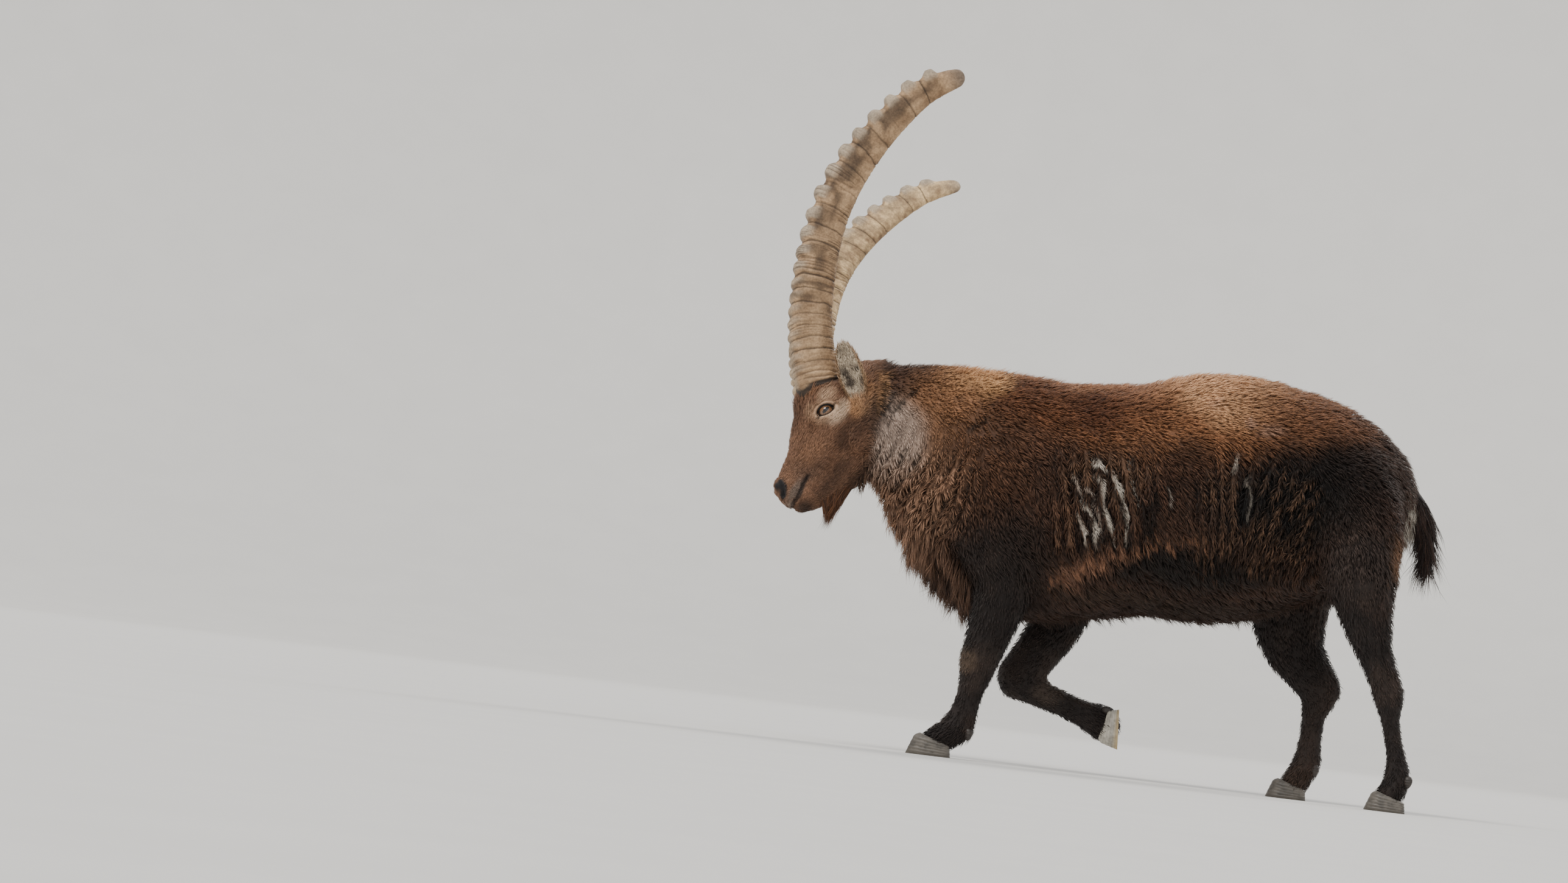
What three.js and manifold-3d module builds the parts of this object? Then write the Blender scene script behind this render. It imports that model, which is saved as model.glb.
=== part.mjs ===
// Alpine ibex, an adult male in mid stride, life size, as a still model.
// Millimetres, +Z up. The animal faces -X, and its left side faces -Y.
import * as THREE from "three";
import { mergeVertices } from "three/addons/utils/BufferGeometryUtils.js";
import Module from "manifold-3d";

const wasm = await Module();
wasm.setup();

// Joints between neighbouring pieces
const GAP = 0.3;

// Cell sizes of the polygon grids
const TORSO_CELL = 43;
const NECK_CELL = 32;
const HEAD_CELL = 15.6;
const THIGH_CELL = 29;
const SHIN_CELL = 19.5;

// Head pose: the skull is pitched down and rolled, its left side up, about the nape
const NAPE = [-560, 0, 690];
const SKULL_BACK = [-560, 0, 746];
const HEAD_PITCH = THREE.MathUtils.degToRad(56.7);
const HEAD_ROLL = THREE.MathUtils.degToRad(16.5);

// How far neighbouring masses melt into each other
const TRUNK_MELT = 60;
const LIMB_MELT = 26;
const FACE_MELT = 22;

// A sweep's stations: x, y, z of the middle, then half depth and half width of the section
const trunk = [
  [-388, 0, 450, 56, 54],
  [-350, 0, 500, 162, 116],
  [-280, 0, 527, 232, 148],
  [-190, 0, 535, 244, 162],
  [-80, 0, 550, 240, 183],
  [40, 0, 568, 237, 195],
  [150, 0, 584, 254, 190],
  [240, 0, 597, 246, 176],
  [330, 0, 614, 214, 160],
  [412, 0, 620, 174, 138],
  [468, 0, 610, 127, 111],
  [506, 0, 598, 62, 70],
];
const neck = [
  [-285, 0, 592, 190, 150],
  [-370, 0, 624, 171, 134],
  [-440, 0, 650, 144, 113],
  [-505, 0, 674, 108, 90],
  [-560, 0, 684, 84, 72],
];

// Left legs stand on the near side, y below 0, and right legs on the far side
const leftShoulder = [
  [-225, -72, 700, 58, 40],
  [-268, -104, 600, 86, 58],
  [-298, -110, 500, 84, 62],
  [-250, -106, 420, 72, 56],
];
const leftForearm = [
  [-285, -106, 480, 78, 52],
  [-238, -102, 390, 68, 48],
  [-240, -96, 310, 56, 41],
  [-252, -90, 250, 47, 36],
  [-264, -84, 200, 41, 32],
  [-268, -81, 168, 34, 27],
  [-275, -78, 130, 28, 21],
  [-281, -76, 96, 30, 22],
  [-291, -75, 66, 35, 27],
  [-312, -75, 45, 31, 30],
  [-328, -75, 34, 28, 31],
];
const rightShoulder = [
  [-215, 72, 700, 58, 40],
  [-245, 104, 600, 86, 58],
  [-235, 110, 500, 84, 62],
  [-160, 107, 410, 74, 56],
];
const rightForearm = [
  [-190, 106, 470, 76, 52],
  [-118, 104, 385, 68, 48],
  [-112, 98, 320, 61, 43],
  [-145, 92, 245, 51, 38],
  [-186, 88, 182, 42, 33],
];
const rightForeShank = [
  [-188, 88, 172, 37, 31],
  [-140, 86, 153, 31, 25],
  [-90, 85, 137, 28, 22],
  [-48, 84, 123, 29, 23],
  [-18, 84, 112, 34, 27],
  [2, 84, 103, 33, 30],
];
const leftHind = [
  [427, -86, 644, 95, 65],
  [456, -104, 570, 96, 70],
  [472, -111, 480, 80, 64],
  [490, -109, 410, 63, 50],
  [508, -106, 350, 48, 38],
  [530, -103, 295, 35, 29],
  [547, -101, 255, 30, 25],
  [558, -100, 226, 29, 24],
  [566, -99, 196, 23, 20],
  [577, -98, 156, 20, 18],
  [588, -97, 115, 21, 18],
  [595, -97, 80, 27, 23],
  [593, -97, 54, 27, 27],
  [587, -97, 38, 28, 29],
];
const rightHind = [
  [394, 86, 640, 98, 66],
  [372, 104, 550, 108, 71],
  [350, 112, 455, 102, 62],
  [350, 111, 380, 84, 52],
  [366, 107, 312, 67, 40],
  [398, 103, 262, 48, 33],
  [422, 101, 224, 37, 29],
  [425, 100, 192, 30, 25],
  [423, 99, 150, 25, 21],
  [422, 98, 108, 26, 21],
  [421, 98, 80, 31, 25],
  [411, 98, 54, 29, 28],
  [403, 98, 38, 29, 30],
];
const leftHeelBone = [
  [542, -102, 292, 20, 14],
  [576, -100, 240, 11, 12],
  [570, -99, 214, 14, 14],
];
const rightHeelBone = [
  [414, 103, 290, 22, 15],
  [461, 101, 236, 13, 13],
  [447, 100, 206, 16, 14],
];

// The skull's own frame: x along the face to the nose, z towards the brow
const skull = [
  [0, 0, -28, 58, 52],
  [50, 0, -15, 84, 62],
  [100, 0, -18, 96, 64],
  [140, 0, -26, 88, 57],
  [172, 0, -32, 77, 49],
  [206, 0, -38, 63, 41],
  [244, 0, -40, 52, 36],
  [268, 0, -43, 44, 34],
  [283, 0, -50, 35, 30],
];
const jaw = [
  [78, 0, -92, 46, 48],
  [120, 0, -104, 42, 43],
  [165, 0, -104, 36, 34],
  [215, 0, -96, 26, 26],
  [262, 0, -84, 23, 25],
  [278, 0, -76, 19, 23],
];
const brow = [
  [84, 50, 22, 26, 20],
  [120, 55, 20, 24, 22],
  [142, 48, 14, 20, 18],
];
const cheekbone = [
  [112, 58, -18, 18, 14],
  [155, 50, -34, 17, 13],
  [200, 36, -42, 18, 14],
];
const pedicle = [
  [118, 26, 38, 44, 32],
  [94, 34, 44, 46, 34],
];

const vec = (p) => new THREE.Vector3(...p);

// A point on the smooth curve through four values
function spline(p0, p1, p2, p3, t) {
  const m1 = (p2 - p0) / 2;
  const m2 = (p3 - p1) / 2;
  const t2 = t * t;
  const t3 = t2 * t;
  return (2 * t3 - 3 * t2 + 1) * p1 + (t3 - 2 * t2 + t) * m1 + (3 * t2 - 2 * t3) * p2 + (t3 - t2) * m2;
}

// The same stations, closer together along a smooth curve
function refine(stations, steps = 3) {
  const last = stations.length - 1;
  const out = [];
  for (let i = 0; i < last; i++) {
    const [a, b, c, d] = [i - 1, i, i + 1, i + 2].map((k) => stations[Math.min(Math.max(k, 0), last)]);
    for (let s = 0; s < steps; s++) out.push(b.map((_, k) => spline(a[k], b[k], c[k], d[k], s / steps)));
  }
  out.push(stations[last]);
  return out;
}

// The sweep's segments, each with its own axes: along, side and depth
function sweepOf(stations, mirror = 1) {
  const fine = refine(stations).map((s) => [s[0], s[1] * mirror, s[2], s[3], s[4]]);
  const segments = [];
  for (let i = 0; i + 1 < fine.length; i++) {
    const from = vec(fine[i].slice(0, 3));
    const to = vec(fine[i + 1].slice(0, 3));
    const along = to.clone().sub(from);
    const length = along.length();
    along.divideScalar(length);
    const side = new THREE.Vector3(0, 1, 0).addScaledVector(along, -along.y).normalize();
    const depth = new THREE.Vector3().crossVectors(along, side);
    segments.push({ from, along, side, depth, length, start: fine[i], end: fine[i + 1] });
  }
  const box = new THREE.Box3();
  for (const s of fine) box.expandByPoint(vec(s.slice(0, 3)));
  return { segments, box, reach: Math.max(...fine.map((s) => Math.max(s[3], s[4]))) };
}

// Distance to a sweep's surface, below 0 inside
function sweepDistance(sweep, p) {
  let best = Infinity;
  for (const { from, along, side, depth, length, start, end } of sweep.segments) {
    const dx = p.x - from.x;
    const dy = p.y - from.y;
    const dz = p.z - from.z;
    const raw = (dx * along.x + dy * along.y + dz * along.z) / length;
    const t = Math.min(Math.max(raw, 0), 1);
    const a = start[3] + (end[3] - start[3]) * t;
    const b = start[4] + (end[4] - start[4]) * t;
    const e = Math.min(a, b);
    const u = dx * depth.x + dy * depth.y + dz * depth.z;
    const v = dx * side.x + dy * side.y + dz * side.z;
    const w = (raw - t) * length;
    const near = Math.hypot(u / a, v / b, w / e);
    const slope = Math.max(Math.hypot(u / (a * a), v / (b * b), w / (e * e)), 1e-9);
    best = Math.min(best, (near * (near - 1)) / slope);
  }
  return best;
}

function melt(a, b, reach) {
  const h = Math.max(reach - Math.abs(a - b), 0) / reach;
  return Math.min(a, b) - (h * h * reach) / 4;
}

const rollTurn = new THREE.Matrix4().makeRotationX(-HEAD_ROLL);
const skullTurn = new THREE.Matrix4().makeRotationY(-HEAD_PITCH);
// The skull's frame looks along -X once it is turned half round Z, so that y keeps its side
const skullFrame = new THREE.Matrix4()
  .makeTranslation(...NAPE)
  .multiply(rollTurn)
  .multiply(new THREE.Matrix4().makeTranslation(...vec(SKULL_BACK).sub(vec(NAPE)).toArray()))
  .multiply(skullTurn)
  .multiply(new THREE.Matrix4().makeScale(-1, 1, 1));
const intoSkull = skullFrame.clone().invert();

const trunkSweeps = [trunk, neck].map((s) => sweepOf(s));
const limbSweeps = [
  leftShoulder,
  leftForearm,
  rightShoulder,
  rightForearm,
  rightForeShank,
  leftHind,
  rightHind,
  leftHeelBone,
  rightHeelBone,
].map((s) => sweepOf(s));
const faceSweeps = [sweepOf(skull), sweepOf(jaw)];
for (const side of [-1, 1])
  for (const stations of [brow, cheekbone, pedicle]) faceSweeps.push(sweepOf(stations, side));

// Distance to the body's outline, the tips of its coat
function body(p) {
  let d = melt(sweepDistance(trunkSweeps[0], p), sweepDistance(trunkSweeps[1], p), TRUNK_MELT);
  for (const s of limbSweeps) {
    if (s.box.distanceToPoint(p) < s.reach + 2 * LIMB_MELT) d = melt(d, sweepDistance(s, p), LIMB_MELT);
  }
  if (p.x < NAPE[0] + 200) {
    const q = p.clone().applyMatrix4(intoSkull);
    let face = sweepDistance(faceSweeps[0], q);
    for (const s of faceSweeps.slice(1)) face = melt(face, sweepDistance(s, q), FACE_MELT);
    d = melt(d, face, LIMB_MELT);
  }
  return d;
}

function solidOf(geometry) {
  const bare = geometry.clone();
  bare.deleteAttribute("normal");
  bare.deleteAttribute("uv");
  const merged = mergeVertices(bare, 1e-4);
  return new wasm.Manifold(
    new wasm.Mesh({
      numProp: 3,
      vertProperties: new Float32Array(merged.attributes.position.array),
      triVerts: new Uint32Array(merged.index.array),
    }),
  );
}

// A closed surface of quads round the cells that the outline crosses, its corners slid onto the outline
function polygonize(distance, low, high, cell) {
  const count = low.map((v, k) => Math.ceil((high[k] - v) / cell) + 1);
  const [nx, ny, nz] = count;
  const at = (i, j, k) => (i * ny + j) * nz + k;
  const values = new Float32Array(nx * ny * nz);
  const p = new THREE.Vector3();
  for (let i = 0; i < nx; i++)
    for (let j = 0; j < ny; j++)
      for (let k = 0; k < nz; k++) {
        const onEdge = [i, j, k].some((n, axis) => n === 0 || n === count[axis] - 1);
        p.set(low[0] + i * cell, low[1] + j * cell, low[2] + k * cell);
        values[at(i, j, k)] = onEdge ? Math.max(distance(p), cell * 0.5) : distance(p);
      }
  const corners = [];
  for (const a of [0, 1]) for (const b of [0, 1]) for (const c of [0, 1]) corners.push([a, b, c]);
  const edges = [];
  corners.forEach((a, m) =>
    corners.forEach((b, n) => {
      const apart = a.reduce((sum, v, axis) => sum + Math.abs(v - b[axis]), 0);
      if (n > m && apart === 1) edges.push([a, b]);
    }),
  );
  const place = [];
  const vertexAt = new Map();
  for (let i = 0; i + 1 < nx; i++)
    for (let j = 0; j + 1 < ny; j++)
      for (let k = 0; k + 1 < nz; k++) {
        let hits = 0;
        const sum = [0, 0, 0];
        for (const [a, b] of edges) {
          const va = values[at(i + a[0], j + a[1], k + a[2])];
          const vb = values[at(i + b[0], j + b[1], k + b[2])];
          if (va < 0 === vb < 0) continue;
          const t = va / (va - vb);
          hits++;
          for (let c = 0; c < 3; c++) sum[c] += a[c] + (b[c] - a[c]) * t;
        }
        if (!hits) continue;
        vertexAt.set(at(i, j, k), place.length / 3);
        place.push(
          low[0] + (i + sum[0] / hits) * cell,
          low[1] + (j + sum[1] / hits) * cell,
          low[2] + (k + sum[2] / hits) * cell,
        );
      }
  slideOnto(distance, place, cell);
  const faces = [];
  const quad = (cells, flip) => {
    const [a, b, c, d] = cells.map((n) => vertexAt.get(n));
    if (flip) faces.push(a, c, b, a, d, c);
    else faces.push(a, b, c, a, c, d);
  };
  for (let i = 0; i + 1 < nx; i++)
    for (let j = 0; j + 1 < ny; j++)
      for (let k = 0; k + 1 < nz; k++) {
        const inside = values[at(i, j, k)] < 0;
        if (inside !== values[at(i + 1, j, k)] < 0)
          quad([at(i, j - 1, k - 1), at(i, j, k - 1), at(i, j, k), at(i, j - 1, k)], !inside);
        if (inside !== values[at(i, j + 1, k)] < 0)
          quad([at(i - 1, j, k - 1), at(i - 1, j, k), at(i, j, k), at(i, j, k - 1)], !inside);
        if (inside !== values[at(i, j, k + 1)] < 0)
          quad([at(i - 1, j - 1, k), at(i, j - 1, k), at(i, j, k), at(i - 1, j, k)], !inside);
      }
  const geometry = new THREE.BufferGeometry();
  geometry.setAttribute("position", new THREE.Float32BufferAttribute(place, 3));
  geometry.setIndex(faces);
  return geometry;
}

function slideOnto(distance, place, cell) {
  const p = new THREE.Vector3();
  const q = new THREE.Vector3();
  const step = cell * 0.05;
  const most = cell * 0.35;
  for (let n = 0; n < place.length; n += 3) {
    p.set(place[n], place[n + 1], place[n + 2]);
    const here = distance(p);
    if (Math.abs(here) > most) continue;
    const slope = new THREE.Vector3(
      distance(q.copy(p).setX(p.x + step)) - here,
      distance(q.copy(p).setY(p.y + step)) - here,
      distance(q.copy(p).setZ(p.z + step)) - here,
    ).divideScalar(step);
    p.addScaledVector(slope, -here / Math.max(slope.lengthSq(), 0.2));
    place[n] = p.x;
    place[n + 1] = p.y;
    place[n + 2] = p.z;
  }
}

const FAR = 400;
const toSkull = (solid) => solid.transform(skullFrame.elements.slice());
const largest = (solid) => solid.decompose().reduce((a, b) => (b.volume() > a.volume() ? b : a));

// A prism whose outline is given as x, z points in order, between two widths, grown by a margin
function prism(outline, y0, y1, margin = 0) {
  const points = outline.map(([x, z]) => new THREE.Vector2(x, z));
  const area = THREE.ShapeUtils.area(points);
  const moved = points.map((p, i) => {
    const before = points[(i + points.length - 1) % points.length];
    const after = points[(i + 1) % points.length];
    const a = new THREE.Vector2(p.y - before.y, before.x - p.x).normalize();
    const b = new THREE.Vector2(after.y - p.y, p.x - after.x).normalize();
    const mid = a.clone().add(b).normalize();
    return p.clone().addScaledVector(mid, (Math.sign(area) * margin) / mid.dot(a));
  });
  const shape = new THREE.Shape(moved);
  const depth = y1 - y0 + 2 * margin;
  const geometry = new THREE.ExtrudeGeometry(shape, { depth, bevelEnabled: false });
  geometry.rotateX(Math.PI / 2);
  geometry.translate(0, y1 + margin, 0);
  return solidOf(geometry);
}

// A closed tube through rings of points, fanned shut at both ends
function loft(rings) {
  const sides = rings[0].length;
  const place = rings.flat().flatMap((p) => [p.x, p.y, p.z]);
  const faces = [];
  for (let r = 0; r + 1 < rings.length; r++)
    for (let s = 0; s < sides; s++) {
      const a = r * sides + s;
      const b = r * sides + ((s + 1) % sides);
      faces.push(a, b, a + sides, b, b + sides, a + sides);
    }
  for (const [ring, turn] of [[0, true], [rings.length - 1, false]])
    for (let s = 1; s + 1 < sides; s++) {
      const [a, b, c] = [0, s, s + 1].map((n) => ring * sides + n);
      faces.push(...(turn ? [a, c, b] : [a, b, c]));
    }
  const geometry = new THREE.BufferGeometry();
  geometry.setAttribute("position", new THREE.Float32BufferAttribute(place, 3));
  geometry.setIndex(faces);
  const solid = solidOf(geometry);
  return solid.volume() < 0 ? solidOf(turned(geometry)) : solid;
}

function turned(geometry) {
  const index = geometry.index.array;
  for (let i = 0; i < index.length; i += 3) [index[i + 1], index[i + 2]] = [index[i + 2], index[i + 1]];
  return geometry;
}

const ball = (centre, radii, wide = 12, high = 8) => {
  const geometry = new THREE.SphereGeometry(1, wide, high);
  geometry.rotateX(Math.PI / 2);
  geometry.scale(...radii);
  geometry.translate(...centre);
  return solidOf(geometry);
};

// Where a ray from outside first meets the body's outline
function onBody(from, towards, reach = 600) {
  const p = vec(from);
  const step = vec(towards).normalize();
  for (let gone = 0; gone < reach; gone += 4) {
    if (body(p) < 0) return p;
    p.addScaledVector(step, 4);
  }
  return null;
}

// The direction straight out of the body at a point of its outline
function outward(p) {
  const d = 3;
  const slope = ["x", "y", "z"].map((axis) => {
    const [a, b] = [p.clone(), p.clone()];
    a[axis] += d;
    b[axis] -= d;
    return body(a) - body(b);
  });
  return slope;
}

let seed = 20261125;
const random = () => {
  seed = (seed * 1664525 + 1013904223) % 4294967296;
  return seed / 4294967296;
};
const spread = (amount) => (random() * 2 - 1) * amount;

// A flat tapered lock of hair that leaves its root and bends over to hang along its lie
function lock({ root, out, lie, length, width, thick = 5, sink = 14 }) {
  const rise = vec(out).normalize();
  const hang = vec(lie).normalize();
  const p = root.clone().addScaledVector(rise, -sink);
  const stations = [0, 0.3, 0.66, 1];
  const across = new THREE.Vector3().crossVectors(rise, hang).normalize();
  const rings = [];
  let last = 0;
  for (const t of stations) {
    const heading = rise.clone().lerp(hang, Math.min(0.25 + t * 1.1, 1)).normalize();
    p.addScaledVector(heading, (t - last) * (length + sink));
    last = t;
    const face = new THREE.Vector3().crossVectors(across, heading).normalize();
    const taper = t === 1 ? 0.1 : 1 - 0.45 * t * t;
    const w = (width / 2) * taper;
    const h = (thick / 2) * (t === 1 ? 0.25 : taper);
    rings.push([
      p.clone().addScaledVector(across, w),
      p.clone().addScaledVector(face, h),
      p.clone().addScaledVector(across, -w),
      p.clone().addScaledVector(face, -h),
    ]);
  }
  return loft(rings);
}

// The flesh, cut into neighbours along shared outlines seen from the side
const headCut = [[-1000, 1200], [-550, 1200], [-524, 500], [-524, 250], [-1000, 250]];
const neckCut = [[-550, 1200], [-190, 1200], [-410, 400], [-440, 250], [-524, 250], [-524, 500]];
const legCuts = {
  left_foreleg: {
    outline: [[-372, 440], [-150, 350], [-100, -60], [-520, -60], [-520, 120], [-330, 290]],
    side: -1,
  },
  right_foreleg: {
    outline: [[-270, 385], [-20, 345], [120, 290], [120, -60], [-290, -60], [-290, 250]],
    side: 1,
  },
  left_hindleg: {
    outline: [[352, 640], [700, 640], [700, -60], [430, -60], [392, 330]],
    side: -1,
  },
  right_hindleg: {
    outline: [[262, 560], [330, 640], [640, 640], [600, -60], [240, -60], [222, 330]],
    side: 1,
  },
};
const MIDDLE = 34;
const legPrism = ({ outline, side }, margin) =>
  prism(outline, side < 0 ? -FAR : MIDDLE, side < 0 ? -MIDDLE : FAR, margin);

const grid = (low, high, cell) => solidOf(polygonize(body, low, high, cell));

let torso = grid([-470, -260, 225], [690, 260, 900], TORSO_CELL)
  .subtract(prism(headCut, -FAR, FAR, GAP))
  .subtract(prism(neckCut, -FAR, FAR, GAP));
for (const cut of Object.values(legCuts)) torso = torso.subtract(legPrism(cut, GAP));
torso = largest(torso);
const neckSolid = largest(
  grid([-600, -240, 330], [-200, 240, 880], NECK_CELL).intersect(prism(neckCut, -FAR, FAR)),
);
let head = largest(
  grid([-800, -200, 380], [-490, 200, 880], HEAD_CELL)
    .intersect(prism(headCut, -FAR, FAR))
    .subtract(prism(neckCut, -FAR, FAR, GAP)),
);

// Where each leg is parted at the wrist or hock: a point on the cut and the limb's direction there
const legJoints = {
  left_foreleg: { at: [-262, 0, 214], down: [-0.22, 0, -1], low: [-440, -190, 0], high: [-100, -30, 480] },
  right_foreleg: { at: [-170, 0, 192], down: [0.75, 0, -0.55], low: [-300, 20, 40], high: [80, 200, 450] },
  left_hindleg: { at: [560, 0, 244], down: [0.3, 0, -1], low: [300, -240, 0], high: [700, -20, 740] },
  right_hindleg: { at: [424, 0, 232], down: [0.15, 0, -1], low: [190, 20, 0], high: [670, 240, 740] },
};

// A slab that fills one side of a plane
function half(at, down, margin = 0) {
  const box = new THREE.BoxGeometry(2 * FAR, 2 * FAR, FAR);
  box.translate(0, 0, FAR / 2 - margin);
  const turn = new THREE.Quaternion().setFromUnitVectors(new THREE.Vector3(0, 0, 1), vec(down).normalize());
  box.applyMatrix4(new THREE.Matrix4().compose(vec(at), turn, new THREE.Vector3(1, 1, 1)));
  return solidOf(box);
}

// Hooves: two claws a foot, each standing on its own flat sole
const hoofLength = 84;
const clawWidth = 31;
const toeHeight = 44;
const heelHeight = 25;
const clawSplit = 3;
const feet = {
  left_foreleg: { at: [-344, -75, 0], pitch: 0, size: 1.08 },
  right_foreleg: { at: [32, 84, 98], pitch: 94, size: 0.98 },
  left_hindleg: { at: [578, -97, 0], pitch: 0, size: 0.98 },
  right_hindleg: { at: [386, 98, 0], pitch: 0, size: 0.98 },
};
// A foot's own frame: x to the toe, z up
const footFrame = ({ at, pitch, size }) =>
  new THREE.Matrix4()
    .makeTranslation(...at)
    .multiply(new THREE.Matrix4().makeRotationY(THREE.MathUtils.degToRad(-pitch)))
    .multiply(new THREE.Matrix4().makeScale(-size, size, size));

// The ring of a claw at a height share: a long pointed toe, a straight inner wall
function clawRing(share, side) {
  const corners = 12;
  return Array.from({ length: corners }, (_, i) => {
    const turn = (2 * Math.PI * (i + 0.5)) / corners;
    const [c, o] = [Math.cos(turn), Math.sin(turn)];
    const x = (hoofLength / 2) * Math.sign(c) * Math.abs(c) ** 0.8 * (1 - (c > 0 ? 0.36 : 0.1) * share);
    const point = c > 0 ? 1 - 0.4 * c * c : 1;
    const across = o > 0 ? 0.42 + 0.58 * o ** 0.8 * point : 0.42 - 0.42 * (-o) ** 0.4;
    const y = clawSplit / 2 + clawWidth * across * (1 - 0.1 * share);
    const top = heelHeight + ((toeHeight - heelHeight) * (x + hoofLength / 2)) / hoofLength;
    return new THREE.Vector3(x, y * side, share * top);
  });
}
const claw = (foot, side) =>
  loft([0, 0.5, 1].map((share) => clawRing(share, side))).transform(footFrame(foot).elements.slice());

// The leg ends a gap above the claws' slanted tops
function hoofSpace(foot) {
  const box = new THREE.BoxGeometry(3 * hoofLength, 3 * hoofLength, FAR);
  box.translate(0, 0, -FAR / 2);
  box.rotateY(-Math.atan((toeHeight - heelHeight) / hoofLength));
  box.translate(0, 0, (toeHeight + heelHeight) / 2 + GAP);
  return solidOf(box).transform(footFrame(foot).elements.slice());
}

const dewclaws = {
  left_foreleg: [[-262, -88, 50], [-262, -62, 50]],
  right_foreleg: [[8, 97, 138], [8, 71, 138]],
  left_hindleg: [[634, -110, 66], [634, -84, 66]],
  right_hindleg: [[452, 85, 66], [452, 111, 66]],
};

const nodes = new Map();
for (const [name, cut] of Object.entries(legCuts)) {
  const { at, down, low, high } = legJoints[name];
  const thigh = grid([low[0], low[1], at[2] - 60], high, THIGH_CELL);
  const upper = largest(thigh.intersect(legPrism(cut, 0)).subtract(half(at, down, GAP)));
  const top = [high[0], high[1], at[2] + 60];
  let lower = grid(low, top, SHIN_CELL).intersect(legPrism(cut, 0)).intersect(half(at, down));
  for (const c of dewclaws[name]) lower = lower.add(ball(c, [9, 7, 12], 6, 4));
  lower = largest(lower.subtract(hoofSpace(feet[name])));
  nodes.set(name + "_upper", upper);
  nodes.set(name + "_lower", lower);
  nodes.set(name + "_outer_claw", claw(feet[name], cut.side));
  nodes.set(name + "_inner_claw", claw(feet[name], -cut.side));
}

// Horns: stations of x, height above the nape, depth front to back, width
const hornLine = [
  [-648, -12, 86, 52],
  [-662, 30, 90, 57],
  [-684, 118, 88, 60],
  [-688, 208, 83, 58],
  [-680, 294, 77, 53],
  [-661, 367, 73, 48],
  [-628, 438, 68, 43],
  [-580, 509, 61, 38],
  [-527, 568, 53, 33],
  [-492, 593, 45, 29],
  [-455, 611, 36, 24],
  [-433, 618, 24, 18],
];
// The horns stand this far from the middle at the nape's height, and lean out this much for each step up
const HORN_ROOT = 38;
const HORN_SPLAY = 0.424;
const HORN_LEAN = Math.atan(HORN_SPLAY);
const HORN_SIDES = 9;
// Knobs start this far up the horn and stop this short of its tip
const KNOBS_FROM = 46;
const KNOBS_TO = 60;
const TIP_CAP = 16;
const rollAboutNape = new THREE.Matrix4()
  .makeTranslation(...NAPE)
  .multiply(rollTurn)
  .multiply(new THREE.Matrix4().makeTranslation(-NAPE[0], -NAPE[1], -NAPE[2]));

// The horn's stations by the distance gone along it
const hornFine = refine(hornLine.map((s) => [...s, 0]), 12);
const hornGone = [0];
for (let i = 1; i < hornFine.length; i++) {
  const step = Math.hypot(hornFine[i][0] - hornFine[i - 1][0], hornFine[i][1] - hornFine[i - 1][1]);
  hornGone.push(hornGone[i - 1] + step / Math.cos(HORN_LEAN * 0.8));
}
const HORN_LENGTH = hornGone[hornGone.length - 1];
function hornAt(gone) {
  let i = 1;
  while (i < hornFine.length - 1 && hornGone[i] < gone) i++;
  const share = (gone - hornGone[i - 1]) / (hornGone[i] - hornGone[i - 1]);
  const t = Math.min(Math.max(share, 0), 1);
  return hornFine[i - 1].map((v, k) => v + (hornFine[i][k] - v) * t);
}

// Where the horn has rings, as distance gone and height of the knob there.
// Knobs stand closer and lower at the root, where the newest horn is ringed finely.
function hornMarks(grow) {
  const { smoothstep } = THREE.MathUtils;
  const marks = [[-grow, 0], [14, 0]];
  let gone = KNOBS_FROM;
  while (gone < HORN_LENGTH - KNOBS_TO) {
    const pitch = 23 + 21 * smoothstep(gone, 120, 430);
    const fade = 1 - 0.4 * smoothstep(gone, 700, 860);
    const size = 3 + 6.5 * smoothstep(gone, 150, 400) * fade;
    marks.push([gone, 0], [gone + pitch * 0.42, size], [gone + pitch * 0.74, size * 0.85]);
    gone += pitch;
  }
  const tip = [[40, 1], [TIP_CAP, 2], [4, 0], [0, 0]];
  return [...marks, ...tip.map(([short, knob]) => [HORN_LENGTH - short, knob])];
}

function hornSolid(side, grow = 0) {
  const rings = hornMarks(grow).map(([mark, knob]) => {
    const [x, h, deep, wide] = hornAt(Math.max(mark, 0));
    const [x1, h1] = hornAt(Math.max(mark - 6, 0));
    const [x2, h2] = hornAt(Math.min(mark + 6, HORN_LENGTH));
    const run = new THREE.Vector2(x2 - x1, h2 - h1).normalize();
    const front = new THREE.Vector2(-run.y, run.x);
    const left = HORN_LENGTH - mark;
    const cap = left < 2 ? 0.45 : left < 10 ? 0.8 : 1;
    const sink = mark < 0 ? grow : 0;
    return Array.from({ length: HORN_SIDES }, (_, i) => {
      const turn = (2 * Math.PI * i) / HORN_SIDES;
      const [c, o] = [Math.cos(turn), Math.sin(turn)];
      const bulge = knob * THREE.MathUtils.smoothstep(c, 0.05, 0.7);
      const fore = Math.sign(c);
      const oval = (fore * Math.abs(c) ** 0.8 * deep * cap) / 2;
      const forward = oval + bulge + grow * fore * Math.abs(c) ** 0.5;
      const across = (o * (1 + 0.24 * c) * (wide * cap)) / 2 + grow * Math.sign(o);
      const px = x + front.x * forward - run.x * sink;
      const ph = h + front.y * forward - run.y * sink;
      const py = HORN_ROOT + HORN_SPLAY * ph + across / Math.cos(HORN_LEAN);
      return new THREE.Vector3(px, side * py, NAPE[2] + ph).applyMatrix4(rollAboutNape);
    });
  });
  return loft(rings);
}

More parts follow.
